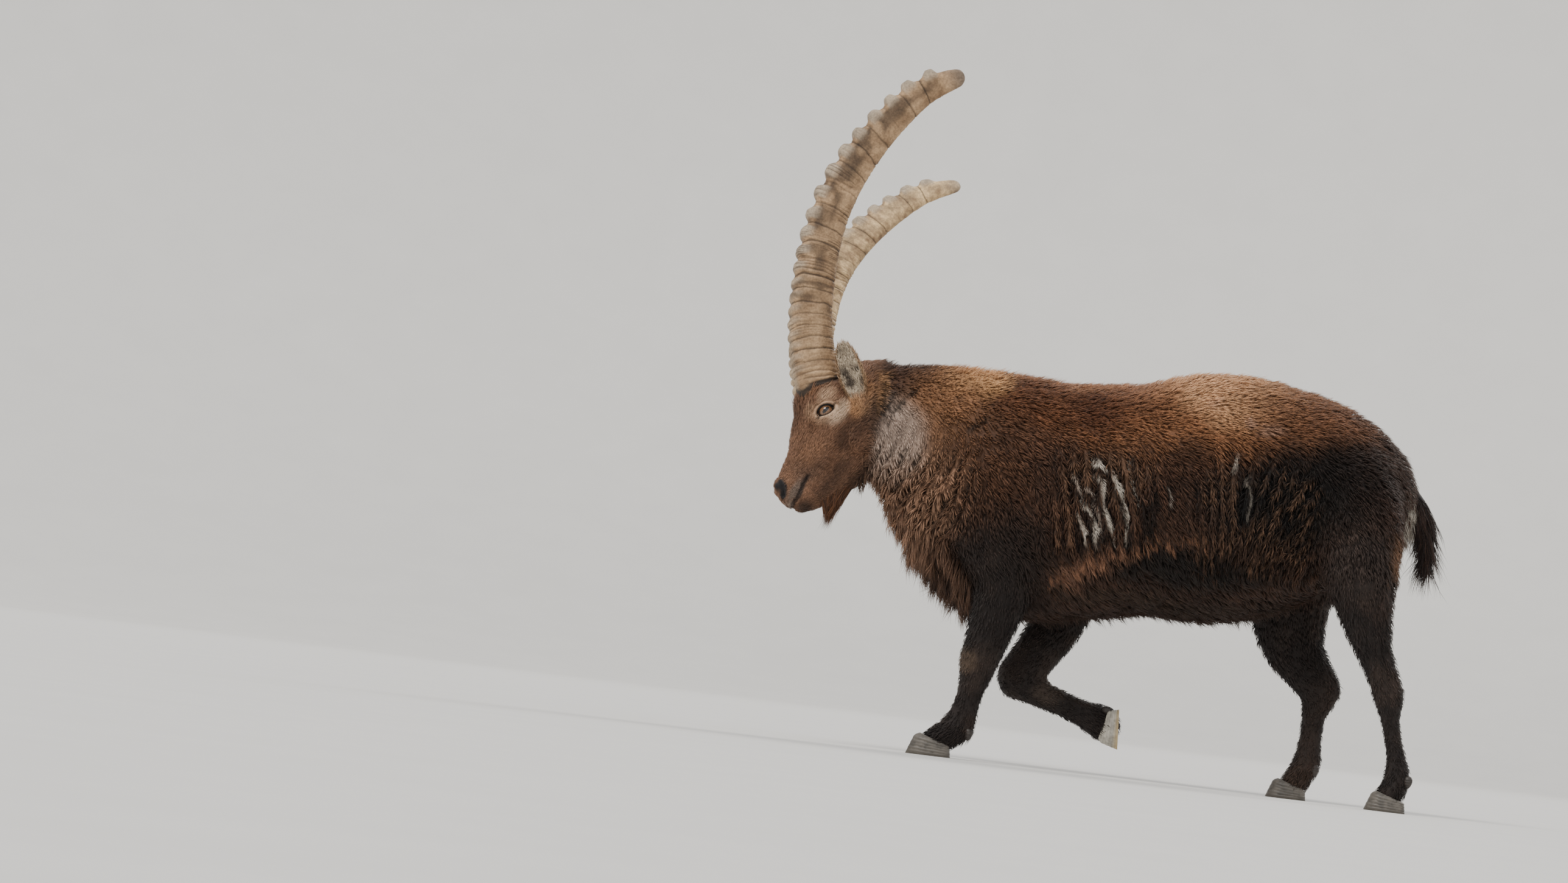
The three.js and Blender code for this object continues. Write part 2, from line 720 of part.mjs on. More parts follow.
// Ears, eyes, lids, nostrils and the line of the mouth, in the skull's frame
const earRoot = [67, 66, -37];
const earTip = [8, 118, 60];
function leaf(side, { from, to, wide, thick, shift, grow }) {
  const root = vec(earRoot);
  const axis = vec(earTip).sub(root);
  const length = axis.length();
  axis.normalize();
  const open = new THREE.Vector3(0.35, 0.75, -0.2);
  open.addScaledVector(axis, -open.dot(axis)).normalize();
  const across = new THREE.Vector3().crossVectors(axis, open);
  const rings = [];
  for (let i = 0; i <= 6; i++) {
    const t = from + ((to - from) * i) / 6;
    const w = wide * Math.sin(Math.PI * Math.min(0.22 + 0.76 * Math.max(t, 0), 0.975)) ** 0.8 + grow;
    const h = thick * (1 - 0.62 * Math.max(t, 0)) + grow;
    const centre = root.clone().addScaledVector(axis, t * length).addScaledVector(open, shift);
    const ring = [];
    for (let k = 0; k < 8; k++) {
      const turn = (2 * Math.PI * k) / 8;
      ring.push(
        centre.clone().addScaledVector(across, Math.cos(turn) * w).addScaledVector(open, Math.sin(turn) * h),
      );
    }
    for (const p of ring) p.y *= side;
    rings.push(ring);
  }
  return loft(rings);
}
const earOuter = { from: -0.22, to: 1, wide: 25, thick: 13, shift: 0, grow: 0 };
const earCup = { from: 0.14, to: 0.93, wide: 18, thick: 13, shift: 9, grow: 0 };
const eyeCentre = [124, 57, 5];
const EYE = 16.5;
const lidRadii = [22, 19.5, 18.5];
const slitLong = 15.5;
const slitHigh = 11.5;
const slitTilt = 2.5;
const nostrilAt = [302, 20, -25];
const nostrilRadii = [8, 7, 12];
// The mouth's line from its corner to the front of the lips, and how high it gapes
const mouthCorner = [240, -52];
const mouthFront = [325, -73];
const lipFront = 296;
const MOUTH_GAPE = 3;
const mouthLine = (from) => {
  const share = (from - mouthCorner[0]) / (mouthFront[0] - mouthCorner[0]);
  const z = mouthCorner[1] + share * (mouthFront[1] - mouthCorner[1]);
  return [[from, z], mouthFront, [mouthFront[0], mouthFront[1] + MOUTH_GAPE], [from, z + MOUTH_GAPE]];
};
const at = ([x, y, z], side) => [x, y * side, z];

for (const side of [-1, 1]) {
  const name = side < 0 ? "left" : "right";
  const lid = toSkull(ball(at(eyeCentre, side), lidRadii, 12, 8));
  const slit = Array.from({ length: 12 }, (_, i) => {
    const turn = (2 * Math.PI * i) / 12;
    const [c, o] = [Math.cos(turn), Math.sin(turn)];
    return [eyeCentre[0] + slitLong * c, eyeCentre[2] + slitHigh * o + slitTilt * c];
  });
  const outFrom = (near, far) => (side < 0 ? [-far, -near] : [near, far]);
  const opening = toSkull(prism(slit, ...outFrom(eyeCentre[1], FAR)));
  const nostril = toSkull(ball(at(nostrilAt, side), nostrilRadii, 10, 6));
  const mouthSide = toSkull(prism(mouthLine(mouthCorner[0]), ...outFrom(20, 60)));
  head = head
    .add(lid)
    .subtract(opening)
    .subtract(toSkull(ball(at(eyeCentre, side), Array(3).fill(EYE + GAP), 12, 8)))
    .subtract(nostril)
    .subtract(mouthSide)
    .subtract(hornSolid(side, GAP))
    .subtract(toSkull(leaf(side, { ...earOuter, grow: GAP })));
  nodes.set(name + "_eye", toSkull(ball(at(eyeCentre, side), Array(3).fill(EYE), 12, 8)));
  nodes.set(name + "_horn", hornSolid(side));
  nodes.set(name + "_ear", toSkull(largest(leaf(side, earOuter).subtract(leaf(side, earCup)))));
}
head = head.subtract(toSkull(prism(mouthLine(lipFront), -30, 30)));

// Tail: a short dock, then its tuft
const dock = [
  [520, 0, 648, 26, 24],
  [566, 0, 634, 23, 21],
  [592, 0, 598, 18, 17],
  [603, 0, 552, 13, 13],
  [606, 0, 512, 9, 10],
];
function dockSolid(grow) {
  const fine = refine(dock, 2);
  return loft(
    fine.map(([x, y, z, a, b], i) => {
      const before = fine[Math.max(i - 1, 0)];
      const after = fine[Math.min(i + 1, fine.length - 1)];
      const run = new THREE.Vector2(after[0] - before[0], after[2] - before[2]).normalize();
      return Array.from({ length: 10 }, (_, k) => {
        const turn = (2 * Math.PI * k) / 10;
        const u = Math.cos(turn) * (a + grow);
        return new THREE.Vector3(x - run.y * u, y + Math.sin(turn) * (b + grow), z + run.x * u);
      });
    }),
  );
}
torso = largest(torso.subtract(dockSolid(GAP)));

nodes.set("torso", torso);
nodes.set("neck", neckSolid);
nodes.set("head", largest(head));
nodes.set("tail", dockSolid(0));

// Long coat: flat locks fused into the piece they grow from, left out where they would touch another
function furnish(name, draws) {
  let solid = nodes.get(name);
  for (const draw of draws) {
    if (!draw.root) continue;
    const wide = lock({ ...draw, length: draw.length + 1, width: draw.width + 1.5, thick: 6.5 });
    const clear = [...nodes].every(([other, shape]) => other === name || wide.intersect(shape).isEmpty());
    if (!clear || wide.boundingBox().min[2] < 1) continue;
    solid = solid.add(lock(draw));
  }
  nodes.set(name, largest(solid));
}
const draws = (count, make) => Array.from({ length: count }, (_, i) => make((i + 0.5) / count));
const rooted = (from, towards, rest) => {
  const root = onBody(from, towards);
  return root ? { root, out: outward(root), ...rest } : {};
};

// The beard hangs from the chin, longest in front
const beardRear = [163, 0, -131];
const beardFront = [247, 0, -113];
furnish("head", draws(14, (t) => {
  const root = vec(beardRear).lerp(vec(beardFront), t).setY(spread(18)).applyMatrix4(skullFrame);
  const lie = [-0.3 + 0.2 * t, spread(0.12), -1];
  return { root, out: [0, 0, -1], lie, length: 26 + 26 * t + spread(5), width: 28, sink: 14 };
}));
furnish("torso", [
  ...draws(20, (t) => rooted([-556 + 140 * t + spread(12), spread(84), 180], [0.42, 0, 1], {
    lie: [0.25, spread(0.15), -1],
    length: 48 + spread(12),
    width: 32,
  })),
  ...draws(22, (t) => {
    const side = random() < 0.5 ? -1 : 1;
    return rooted([-50 + 370 * t, side * (30 + 85 * random()), 160], [0, 0, 1], {
      lie: [0.45, spread(0.15), -0.8],
      length: 38 + spread(8),
      width: 34,
    });
  }),
  ...draws(8, (t) => rooted([-260 + 180 * t, spread(26), 900], [0, 0, -1], {
    lie: [1, spread(0.2), 0.12],
    length: 26 + spread(6),
    width: 24,
  })),
]);
furnish("neck", [
  ...draws(10, (t) => rooted([-520 + 220 * t, spread(30), 900], [0, 0, -1], {
    lie: [1, spread(0.25), 0.25],
    length: 28 + spread(7),
    width: 24,
  })),
  ...draws(10, (t) => rooted([-620 + 84 * t, spread(60), 300], [0.5, 0, 1], {
    lie: [0.45, spread(0.2), -1],
    length: 38 + spread(8),
    width: 28,
  })),
]);
// The tuft's locks wind down round the dock
const TAIL_WIND = 33.6;
furnish("tail", draws(7, (t) => {
  const root = new THREE.Vector3(594 + 10 * t, 0, 590 - 74 * t);
  const turn = TAIL_WIND * t;
  return {
    root,
    out: [Math.cos(turn), Math.sin(turn), -0.7],
    lie: [0.3 * Math.cos(turn), 0.3 * Math.sin(turn), -1],
    length: 66 + spread(12),
    width: 26,
    sink: 8,
  };
}));

const group = new THREE.Group();
const looks = {
  coat: { color: 0x3d2618, roughness: 0.9 },
  face: { color: 0x7a563c, roughness: 0.85 },
  horn: { color: 0x9c8a72, roughness: 0.7 },
  hoof: { color: 0x4c4640, roughness: 0.6 },
  eye: { color: 0x4a3018, roughness: 0.1 },
};
// Which look a node takes, by a word in its name
const slots = { eye: "eye", horn: "horn", claw: "hoof", head: "face", ear: "face" };
const slotOf = (name) => {
  const word = name.split("_").find((part) => part in slots);
  return word ? slots[word] : "coat";
};
const materials = {};
for (const [slot, look] of Object.entries(looks))
  materials[slot] = new THREE.MeshStandardMaterial({ ...look, metalness: 0 });

// The origin lies on the floor below the middle of the whole animal
const reach = new THREE.Box3();
for (const solid of nodes.values()) {
  const { min, max } = solid.boundingBox();
  reach.expandByPoint(vec(min)).expandByPoint(vec(max));
}
const middle = reach.getCenter(new THREE.Vector3());
for (const [name, solid] of nodes) {
  const { vertProperties, triVerts } = solid.translate(-middle.x, -middle.y, 0).getMesh();
  const geometry = new THREE.BufferGeometry();
  geometry.setAttribute("position", new THREE.BufferAttribute(vertProperties, 3));
  geometry.setIndex(new THREE.BufferAttribute(triVerts, 1));
  const mesh = new THREE.Mesh(geometry, materials[slotOf(name)]);
  mesh.name = name;
  group.add(mesh);
}

export default group;
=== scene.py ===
# Alpine ibex, an adult male in mid stride: its skin, coat, horns, eyes and hooves.
# The tables are in millimetres, measured as in the solids, and the pieces are made in metres.
import math

import bpy
import numpy as np
from mathutils import Matrix
from mathutils import Vector


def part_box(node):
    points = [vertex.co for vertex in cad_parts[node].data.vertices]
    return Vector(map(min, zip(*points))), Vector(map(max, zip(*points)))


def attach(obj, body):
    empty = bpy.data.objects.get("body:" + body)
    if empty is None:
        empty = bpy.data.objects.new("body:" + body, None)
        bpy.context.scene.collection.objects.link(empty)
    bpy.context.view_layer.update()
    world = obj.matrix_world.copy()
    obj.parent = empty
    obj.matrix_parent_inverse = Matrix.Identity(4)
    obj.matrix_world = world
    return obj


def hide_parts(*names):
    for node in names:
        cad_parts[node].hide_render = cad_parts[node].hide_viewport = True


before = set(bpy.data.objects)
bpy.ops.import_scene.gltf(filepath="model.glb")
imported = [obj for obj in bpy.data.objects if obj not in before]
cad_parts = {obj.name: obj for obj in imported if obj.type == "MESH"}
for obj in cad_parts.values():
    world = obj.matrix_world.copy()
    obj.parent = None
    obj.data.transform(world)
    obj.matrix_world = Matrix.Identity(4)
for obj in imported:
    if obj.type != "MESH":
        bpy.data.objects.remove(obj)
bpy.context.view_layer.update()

# Metres in a millimetre, a distance beyond anything here, and the least that is divided by
MM = 0.001
FAR = 1e6
TINY = 1e-9

# Head pose: the skull is pitched down and rolled, its left side up, about the nape
NAPE = np.array([-560.0, 0.0, 690.0])
SKULL_BACK = np.array([-560.0, 0.0, 746.0])
HEAD_PITCH = math.radians(56.7)
HEAD_ROLL = math.radians(16.5)

# How widely trunk and neck, a limb and what it meets, and the parts of the face run together
TRUNK_MELT = 60
LIMB_MELT = 26
FACE_MELT = 22
# The face's own forms are looked for up to this far behind the nape
FACE_ENDS = 200

# A sweep's stations: x, y, z of the middle, then half depth and half width of the section
TRUNK = [
    (-388, 0, 450, 56, 54), (-350, 0, 500, 162, 116), (-280, 0, 527, 232, 148), (-190, 0, 535, 244, 162),
    (-80, 0, 550, 240, 183), (40, 0, 568, 237, 195), (150, 0, 584, 254, 190), (240, 0, 597, 246, 176),
    (330, 0, 614, 214, 160), (412, 0, 620, 174, 138), (468, 0, 610, 127, 111), (506, 0, 598, 62, 70),
]
NECK = [
    (-285, 0, 592, 190, 150), (-370, 0, 624, 171, 134), (-440, 0, 650, 144, 113),
    (-505, 0, 674, 108, 90), (-560, 0, 684, 84, 72),
]
LIMBS = {
    "left_shoulder": [
        (-225, -72, 700, 58, 40), (-268, -104, 600, 86, 58), (-298, -110, 500, 84, 62),
        (-250, -106, 420, 72, 56),
    ],
    "left_forearm": [
        (-285, -106, 480, 78, 52), (-238, -102, 390, 68, 48), (-240, -96, 310, 56, 41),
        (-252, -90, 250, 47, 36), (-264, -84, 200, 41, 32), (-268, -81, 168, 34, 27),
        (-275, -78, 130, 28, 21), (-281, -76, 96, 30, 22), (-291, -75, 66, 35, 27),
        (-312, -75, 45, 31, 30), (-328, -75, 34, 28, 31),
    ],
    "right_shoulder": [
        (-215, 72, 700, 58, 40), (-245, 104, 600, 86, 58), (-235, 110, 500, 84, 62),
        (-160, 107, 410, 74, 56),
    ],
    "right_forearm": [
        (-190, 106, 470, 76, 52), (-118, 104, 385, 68, 48), (-112, 98, 320, 61, 43),
        (-145, 92, 245, 51, 38), (-186, 88, 182, 42, 33),
    ],
    "right_fore_shank": [
        (-188, 88, 172, 37, 31), (-140, 86, 153, 31, 25), (-90, 85, 137, 28, 22), (-48, 84, 123, 29, 23),
        (-18, 84, 112, 34, 27), (2, 84, 103, 33, 30),
    ],
    "left_hind": [
        (427, -86, 644, 95, 65), (456, -104, 570, 96, 70), (472, -111, 480, 80, 64),
        (490, -109, 410, 63, 50), (508, -106, 350, 48, 38), (530, -103, 295, 35, 29),
        (547, -101, 255, 30, 25), (558, -100, 226, 29, 24), (566, -99, 196, 23, 20),
        (577, -98, 156, 20, 18), (588, -97, 115, 21, 18), (595, -97, 80, 27, 23),
        (593, -97, 54, 27, 27), (587, -97, 38, 28, 29),
    ],
    "right_hind": [
        (394, 86, 640, 98, 66), (372, 104, 550, 108, 71), (350, 112, 455, 102, 62), (350, 111, 380, 84, 52),
        (366, 107, 312, 67, 40), (398, 103, 262, 48, 33), (422, 101, 224, 37, 29), (425, 100, 192, 30, 25),
        (423, 99, 150, 25, 21), (422, 98, 108, 26, 21), (421, 98, 80, 31, 25), (411, 98, 54, 29, 28),
        (403, 98, 38, 29, 30),
    ],
    "left_heel": [(542, -102, 292, 20, 14), (576, -100, 240, 11, 12), (570, -99, 214, 14, 14)],
    "right_heel": [(414, 103, 290, 22, 15), (461, 101, 236, 13, 13), (447, 100, 206, 16, 14)],
}
# The head's parts stand in the skull's own frame: x along the face to the nose, z towards the brow
SKULL = [
    (0, 0, -28, 58, 52), (50, 0, -15, 84, 62), (100, 0, -18, 96, 64), (140, 0, -26, 88, 57),
    (172, 0, -32, 77, 49), (206, 0, -38, 63, 41), (244, 0, -40, 52, 36), (268, 0, -43, 44, 34),
    (283, 0, -50, 35, 30),
]
JAW = [
    (78, 0, -92, 46, 48), (120, 0, -104, 42, 43), (165, 0, -104, 36, 34), (215, 0, -96, 26, 26),
    (262, 0, -84, 23, 25), (278, 0, -76, 19, 23),
]
PAIRED = {
    "brow": [(84, 50, 22, 26, 20), (120, 55, 20, 24, 22), (142, 48, 14, 20, 18)],
    "cheekbone": [(112, 58, -18, 18, 14), (155, 50, -34, 17, 13), (200, 36, -42, 18, 14)],
    "pedicle": [(118, 26, 38, 44, 32), (94, 34, 44, 46, 34)],
}
EYE_CENTRE = np.array([124.0, 57.0, 5.0])
EYE_RADIUS = 16.5
# The animal's left lies towards -y, and the skull's own frame is mirrored for each side
SIDES = ((-1, "left"), (1, "right"))


def unit(v):
    return v / np.maximum(np.linalg.norm(v, axis=-1, keepdims=True), TINY)


def round_angles(count):
    """Equal steps once round a circle."""
    return np.linspace(0, 2 * math.pi, count, endpoint=False)


def ramp(x, low, high):
    """0 at low, 1 at high, smooth between."""
    t = np.clip((x - low) / (high - low), 0, 1)
    return t * t * (3 - 2 * t)


def mix(a, b, t):
    return a + (b - a) * t


def turn_x(a):
    c, s = math.cos(a), math.sin(a)
    return np.array([[1, 0, 0], [0, c, -s], [0, s, c]])


def turn_y(a):
    c, s = math.cos(a), math.sin(a)
    return np.array([[c, 0, s], [0, 1, 0], [-s, 0, c]])


SKULL_TURN = turn_x(-HEAD_ROLL) @ turn_y(-HEAD_PITCH) @ np.diag([-1.0, 1.0, 1.0])
SKULL_ORIGIN = NAPE + turn_x(-HEAD_ROLL) @ (SKULL_BACK - NAPE)


def from_skull(points):
    return np.asarray(points, float) @ SKULL_TURN.T + SKULL_ORIGIN


def into_skull(points):
    return (points - SKULL_ORIGIN) @ SKULL_TURN


# The tables' origin lies where the solids put it, read from the left eye's place
eye_low, eye_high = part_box("left_eye")
eye_found = (np.array(eye_low) + np.array(eye_high)) / 2 / MM
SHIFT = eye_found - from_skull(EYE_CENTRE * [1, -1, 1])
SHIFT[2] = 0


def place(points):
    return (np.asarray(points, float) + SHIFT) * MM


def refine(stations, steps=3):
    """The same stations, closer together along a smooth curve."""
    rows = np.array(stations, float)
    last = len(rows) - 1
    out = []
    for i in range(last):
        a, b, c, d = (rows[min(max(k, 0), last)] for k in (i - 1, i, i + 1, i + 2))
        for s in range(steps):
            t = s / steps
            near, far = (c - a) / 2, (d - b) / 2
            out.append(
                (2 * t**3 - 3 * t**2 + 1) * b + (t**3 - 2 * t**2 + t) * near
                + (3 * t**2 - 2 * t**3) * c + (t**3 - t**2) * far
            )
    out.append(rows[last])
    return np.array(out)


class Sweep:
    """Oval sections along a smooth line."""

    def __init__(self, stations, mirror=1):
        fine = refine(stations)
        fine[:, 1] *= mirror
        self.start, self.end = fine[:-1], fine[1:]
        step = self.end[:, :3] - self.start[:, :3]
        self.length = np.linalg.norm(step, axis=1)
        self.along = step / self.length[:, None]
        self.side = unit(np.array([0.0, 1.0, 0.0]) - self.along * self.along[:, 1:2])
        self.depth = np.cross(self.along, self.side)
        self.reach = fine[:, 3:5].max()
        self.low, self.high = fine[:, :3].min(axis=0), fine[:, :3].max(axis=0)

    def near(self, points, margin):
        grown = self.reach + margin
        return np.all((points > self.low - grown) & (points < self.high + grown), axis=1)

    def distance(self, points):
        """Distance to the surface, below 0 inside, and the line's direction there."""
        best = np.full(len(points), FAR)
        which = np.zeros(len(points), int)
        for i in range(len(self.length)):
            offset = points - self.start[i, :3]
            raw = offset @ self.along[i] / self.length[i]
            t = np.clip(raw, 0, 1)
            a = mix(self.start[i, 3], self.end[i, 3], t)
            b = mix(self.start[i, 4], self.end[i, 4], t)
            e = np.minimum(a, b)
            u = offset @ self.depth[i] / a
            v = offset @ self.side[i] / b
            w = (raw - t) * self.length[i] / e
            near = np.sqrt(u * u + v * v + w * w)
            slope = np.sqrt((u / a) ** 2 + (v / b) ** 2 + (w / e) ** 2)
            d = near * (near - 1) / np.maximum(slope, TINY)
            closer = d < best
            best[closer] = d[closer]
            which[closer] = i
        return best, self.along[which]


def melt(a, b, reach):
    """Two distances joined, with a soft fillet as wide as reach."""
    h = np.maximum(reach - np.abs(a - b), 0) / reach
    return np.minimum(a, b) - h * h * reach / 4


def carve(a, tool, reach):
    """A distance with the tool's form cut out of it."""
    return -melt(-a, tool, reach)


trunk_sweep, neck_sweep = Sweep(TRUNK), Sweep(NECK)
limb_sweeps = [Sweep(s) for s in LIMBS.values()]
face_sweeps = [Sweep(SKULL), Sweep(JAW)]
for mirror in (-1, 1):
    face_sweeps += [Sweep(s, mirror) for s in PAIRED.values()]


def anatomy(points):
    """Distances to the coat's outline, to trunk and neck and to the nearest limb, and how it runs."""
    core = melt(trunk_sweep.distance(points)[0], neck_sweep.distance(points)[0], TRUNK_MELT)
    d = core.copy()
    limb = np.full(len(points), FAR)
    run = np.tile([0.0, 0.0, -1.0], (len(points), 1))
    for sweep in limb_sweeps:
        close = sweep.near(points, 2 * LIMB_MELT)
        if not close.any():
            continue
        this, along = sweep.distance(points[close])
        d[close] = melt(d[close], this, LIMB_MELT)
        nearer = this < limb[close]
        index = np.flatnonzero(close)[nearer]
        limb[index] = this[nearer]
        run[index] = along[nearer]
    ahead = points[:, 0] < NAPE[0] + FACE_ENDS
    if ahead.any():
        q = into_skull(points[ahead])
        f, _ = face_sweeps[0].distance(q)
        for sweep in face_sweeps[1:]:
            close = sweep.near(q, 2 * FACE_MELT)
            this, _ = sweep.distance(q[close])
            f[close] = melt(f[close], this, FACE_MELT)
        d[ahead] = melt(d[ahead], f, LIMB_MELT)
    return {"outline": d, "core": core, "limb": limb, "run": run}


# Large odd numbers that scramble a cell's place, and the bits that are kept
CELL_SCRAMBLE = (73856093, 19349663, 83492791)
SEED_SCRAMBLE = 2654435761
LAST_SCRAMBLE = 1274126177
LOW_32_BITS = 0xFFFFFFFF
LOW_20_BITS = 0xFFFFF


def dice(i, j, k, seed):
    """A number from 0 to 1 for each cell, always the same for the same cell and seed."""
    n = (i * CELL_SCRAMBLE[0]) ^ (j * CELL_SCRAMBLE[1]) ^ (k * CELL_SCRAMBLE[2])
    n = (n ^ (seed * SEED_SCRAMBLE)) & LOW_32_BITS
    n = ((n ^ (n >> 13)) * LAST_SCRAMBLE) & LOW_32_BITS
    return ((n ^ (n >> 16)) & LOW_20_BITS) / LOW_20_BITS


def noise(points, size, seed):
    """Smooth noise from -1 to 1 with lumps about as wide as size; each seed gives its own pattern."""
    p = np.asarray(points, float) / size
    base = np.floor(p).astype(np.int64)
    t = p - base
    t = t * t * (3 - 2 * t)
    total = np.zeros(len(p))
    for a in (0, 1):
        for b in (0, 1):
            for c in (0, 1):
                share = np.ones(len(p))
                for axis, corner in enumerate((a, b, c)):
                    share = share * (t[:, axis] if corner else 1 - t[:, axis])
                total += share * dice(base[:, 0] + a, base[:, 1] + b, base[:, 2] + c, seed)
    return total * 2 - 1


# Added to the bundles' seed for their random numbers
BUNDLE_NUMBER_SEED = 7


def bundles(points, size, seed):
    """The nearest of the jittered middles that hair gathers round, and a random number for each."""
    base = np.floor(points / size).astype(np.int64)
    best = np.full(len(points), FAR)
    middle = np.zeros((len(points), 3))
    number = np.zeros(len(points))
    for a in (-1, 0, 1):
        for b in (-1, 0, 1):
            for c in (-1, 0, 1):
                i, j, k = base[:, 0] + a, base[:, 1] + b, base[:, 2] + c
                jitter = [dice(i, j, k, seed + axis) for axis in range(3)]
                spot = (np.stack([i, j, k], axis=1) + np.stack(jitter, axis=1)) * size
                gap = np.sum((points - spot) ** 2, axis=1)
                closer = gap < best
                best[closer] = gap[closer]
                middle[closer] = spot[closer]
                number[closer] = dice(i, j, k, seed + BUNDLE_NUMBER_SEED)[closer]
    return middle, number


# Streaks of pale underwool in the folds of the ribs, each from top to foot: x, z, half width
STREAKS = [
    [(-118, 599, 1.0), (-104, 561, 1.8), (-83, 534, 2.6), (-63, 487, 3.0), (-55, 464, 1.0)],
    [(-102, 522, 1.4), (-84, 480, 2.8), (-78, 464, 1.0)],
    [(-91, 577, 1.0), (-77, 560, 2.0), (-65, 541, 1.3), (-45, 480, 1.3)],
    [(-89, 639, 1.6), (-67, 620, 3.6), (-60, 612, 1.4)],
    [(-83, 608, 1.2), (-61, 591, 2.6), (-58, 547, 2.0), (-41, 510, 4.0), (-24, 473, 2.2)],
    [(-44, 613, 1.2), (-31, 585, 3.4), (-14, 552, 4.4), (-2, 515, 4.2), (5, 476, 1.4)],
    [(-10, 639, 2.2), (-3, 618, 2.8), (4, 584, 1.7), (15, 551, 1.0)],
    [(69, 592, 1.0), (77, 573, 1.7), (74, 558, 0.8)],
    [(197, 677, 1.4), (199, 655, 2.4), (201, 638, 1.0)],
    [(229, 632, 0.9), (235, 603, 1.2), (232, 553, 0.8)],
]
# Creases behind the jaw and the ear, on the shoulder and between the folds of the flank, painted dark as
# shade
CREASES = [
    [(-454, 733, 1.5), (-480, 701, 3.0), (-501, 673, 2.6), (-504, 653, 1.0)],
    [(-503, 732, 1.5), (-504, 698, 2.4), (-525, 665, 1.4)],
    [(-310, 687, 1.5), (-341, 658, 3.0)],
    [(-528, 742, 2.0), (-522, 690, 2.0)],
    [(-547, 735, 2.0), (-541, 680, 2.0)],
    [(27, 558, 2.5), (38, 495, 4.0)],
    [(43, 590, 2.0), (46, 552, 5.0), (47, 516, 3.0)],
    [(173, 605, 2.5), (171, 576, 2.0)],
    [(213, 659, 2.0), (222, 600, 4.5), (228, 538, 3.0)],
    [(269, 652, 2.0), (276, 600, 5.0), (283, 540, 3.5)],
    [(304, 646, 3.0), (309, 600, 7.0), (316, 549, 5.0)],
    [(340, 596, 4.0), (326, 545, 5.0)],
    [(364, 643, 3.0), (350, 610, 5.0), (337, 576, 4.0)],
]


def wander(points, seed=3):
    """How far a fold strays from its straight line."""
    return 8 * noise(points, 66, seed) + 2.5 * noise(points, 24, seed + 1)


def nearest_line(points, lines):
    """How far points seen from the side lie beyond the edge of the nearest line, and its half width."""
    best = np.full(len(points), FAR)
    half = np.zeros(len(points))
    for line in lines:
        for (x0, z0, half0), (x1, z1, half1) in zip(line, line[1:]):
            run = np.array([x1 - x0, z1 - z0], float)
            offset = points[:, [0, 2]] - [x0, z0]
            t = np.clip(offset @ run / (run @ run), 0, 1)
            here = mix(half0, half1, t)
            gap = np.linalg.norm(offset - t[:, None] * run, axis=1) - here
            closer = gap < best
            best[closer] = gap[closer]
            half[closer] = here[closer]
    return best, half


def streak(points):
    """Shares, 0 to 1, of the pale streak at each point, its paleness and the painted shade of the crease
    beside it.
    """
    gap, half = nearest_line(points, STREAKS)
    gap = gap + 0.2 * half + 0.7 * noise(points, 12, 8)
    pale = 0.3 + 0.7 * ramp(half, 1.2, 3.4)
    return ramp(gap, 1.0, -0.6), pale, ramp(gap, 9, 4) * ramp(gap, 0.5, 2)


def folded(points):
    """Shares of the upright folds, on ribs and flank, and of the slanted ones, on the chest."""
    x, z = points[:, 0], points[:, 2]
    side = ramp(np.abs(points[:, 1]), 50, 110)
    ribs = ramp(x, -175, -125) * ramp(x, 75, 20) * ramp(z, 665, 620) * ramp(z, 420, 470)
    flank = ramp(x, 90, 170) * ramp(x, 410, 340) * ramp(z, 730, 610) * ramp(z, 420, 470)
    chest = ramp(x, -290, -350) * ramp(z, 640, 560) * ramp(x, -560, -520)
    return np.maximum(ribs, flank) * side, chest


# Widths of a fold of ribs and flank and of one on the chest, and how much each wanders
SIDE_FOLD = 25
SIDE_WANDER = 1.5
CHEST_FOLD = 23
CHEST_WANDER = 1.8
# The height at which a leaning fold keeps its place, and how high the skin stands in the folds
FOLD_HEIGHT = 600
FOLD_DEPTH = 6.5


def fold_lean(points):
    """How far the upright folds run aside for each millimetre down."""
    return mix(0.28, -0.55, ramp(points[:, 0], 100, 380))


def furrows(points):
    """How high the coat stands in its folds, -1 to 1."""
    x, z = points[:, 0], points[:, 2]
    upright, slanted = folded(points)
    leaning = x + fold_lean(points) * (z - FOLD_HEIGHT)
    wave = np.sin(2 * math.pi * (leaning + SIDE_WANDER * wander(points)) / SIDE_FOLD)
    slant = np.sin(2 * math.pi * (x * 0.88 - z * 0.36 + CHEST_WANDER * wander(points, 9)) / CHEST_FOLD)
    return upright * wave + slanted * slant


# How deep the coat stands on the skin, and how long its hair is
DEPTH = {
    "trunk": 10.0, "low_neck": 14.0, "high_neck": 8.0, "belly": 14.0, "brisket": 18.0,
    "leg": 5.5, "shin": 3.0, "face": 3.0, "muzzle": 1.5,
}
HAIR = {
    "trunk": 24.0, "low_neck": 27.0, "high_neck": 16.0, "belly": 34.0, "brisket": 52.0,
    "leg": 17.0, "shin": 10.0, "face": 12.5, "muzzle": 6.0,
}


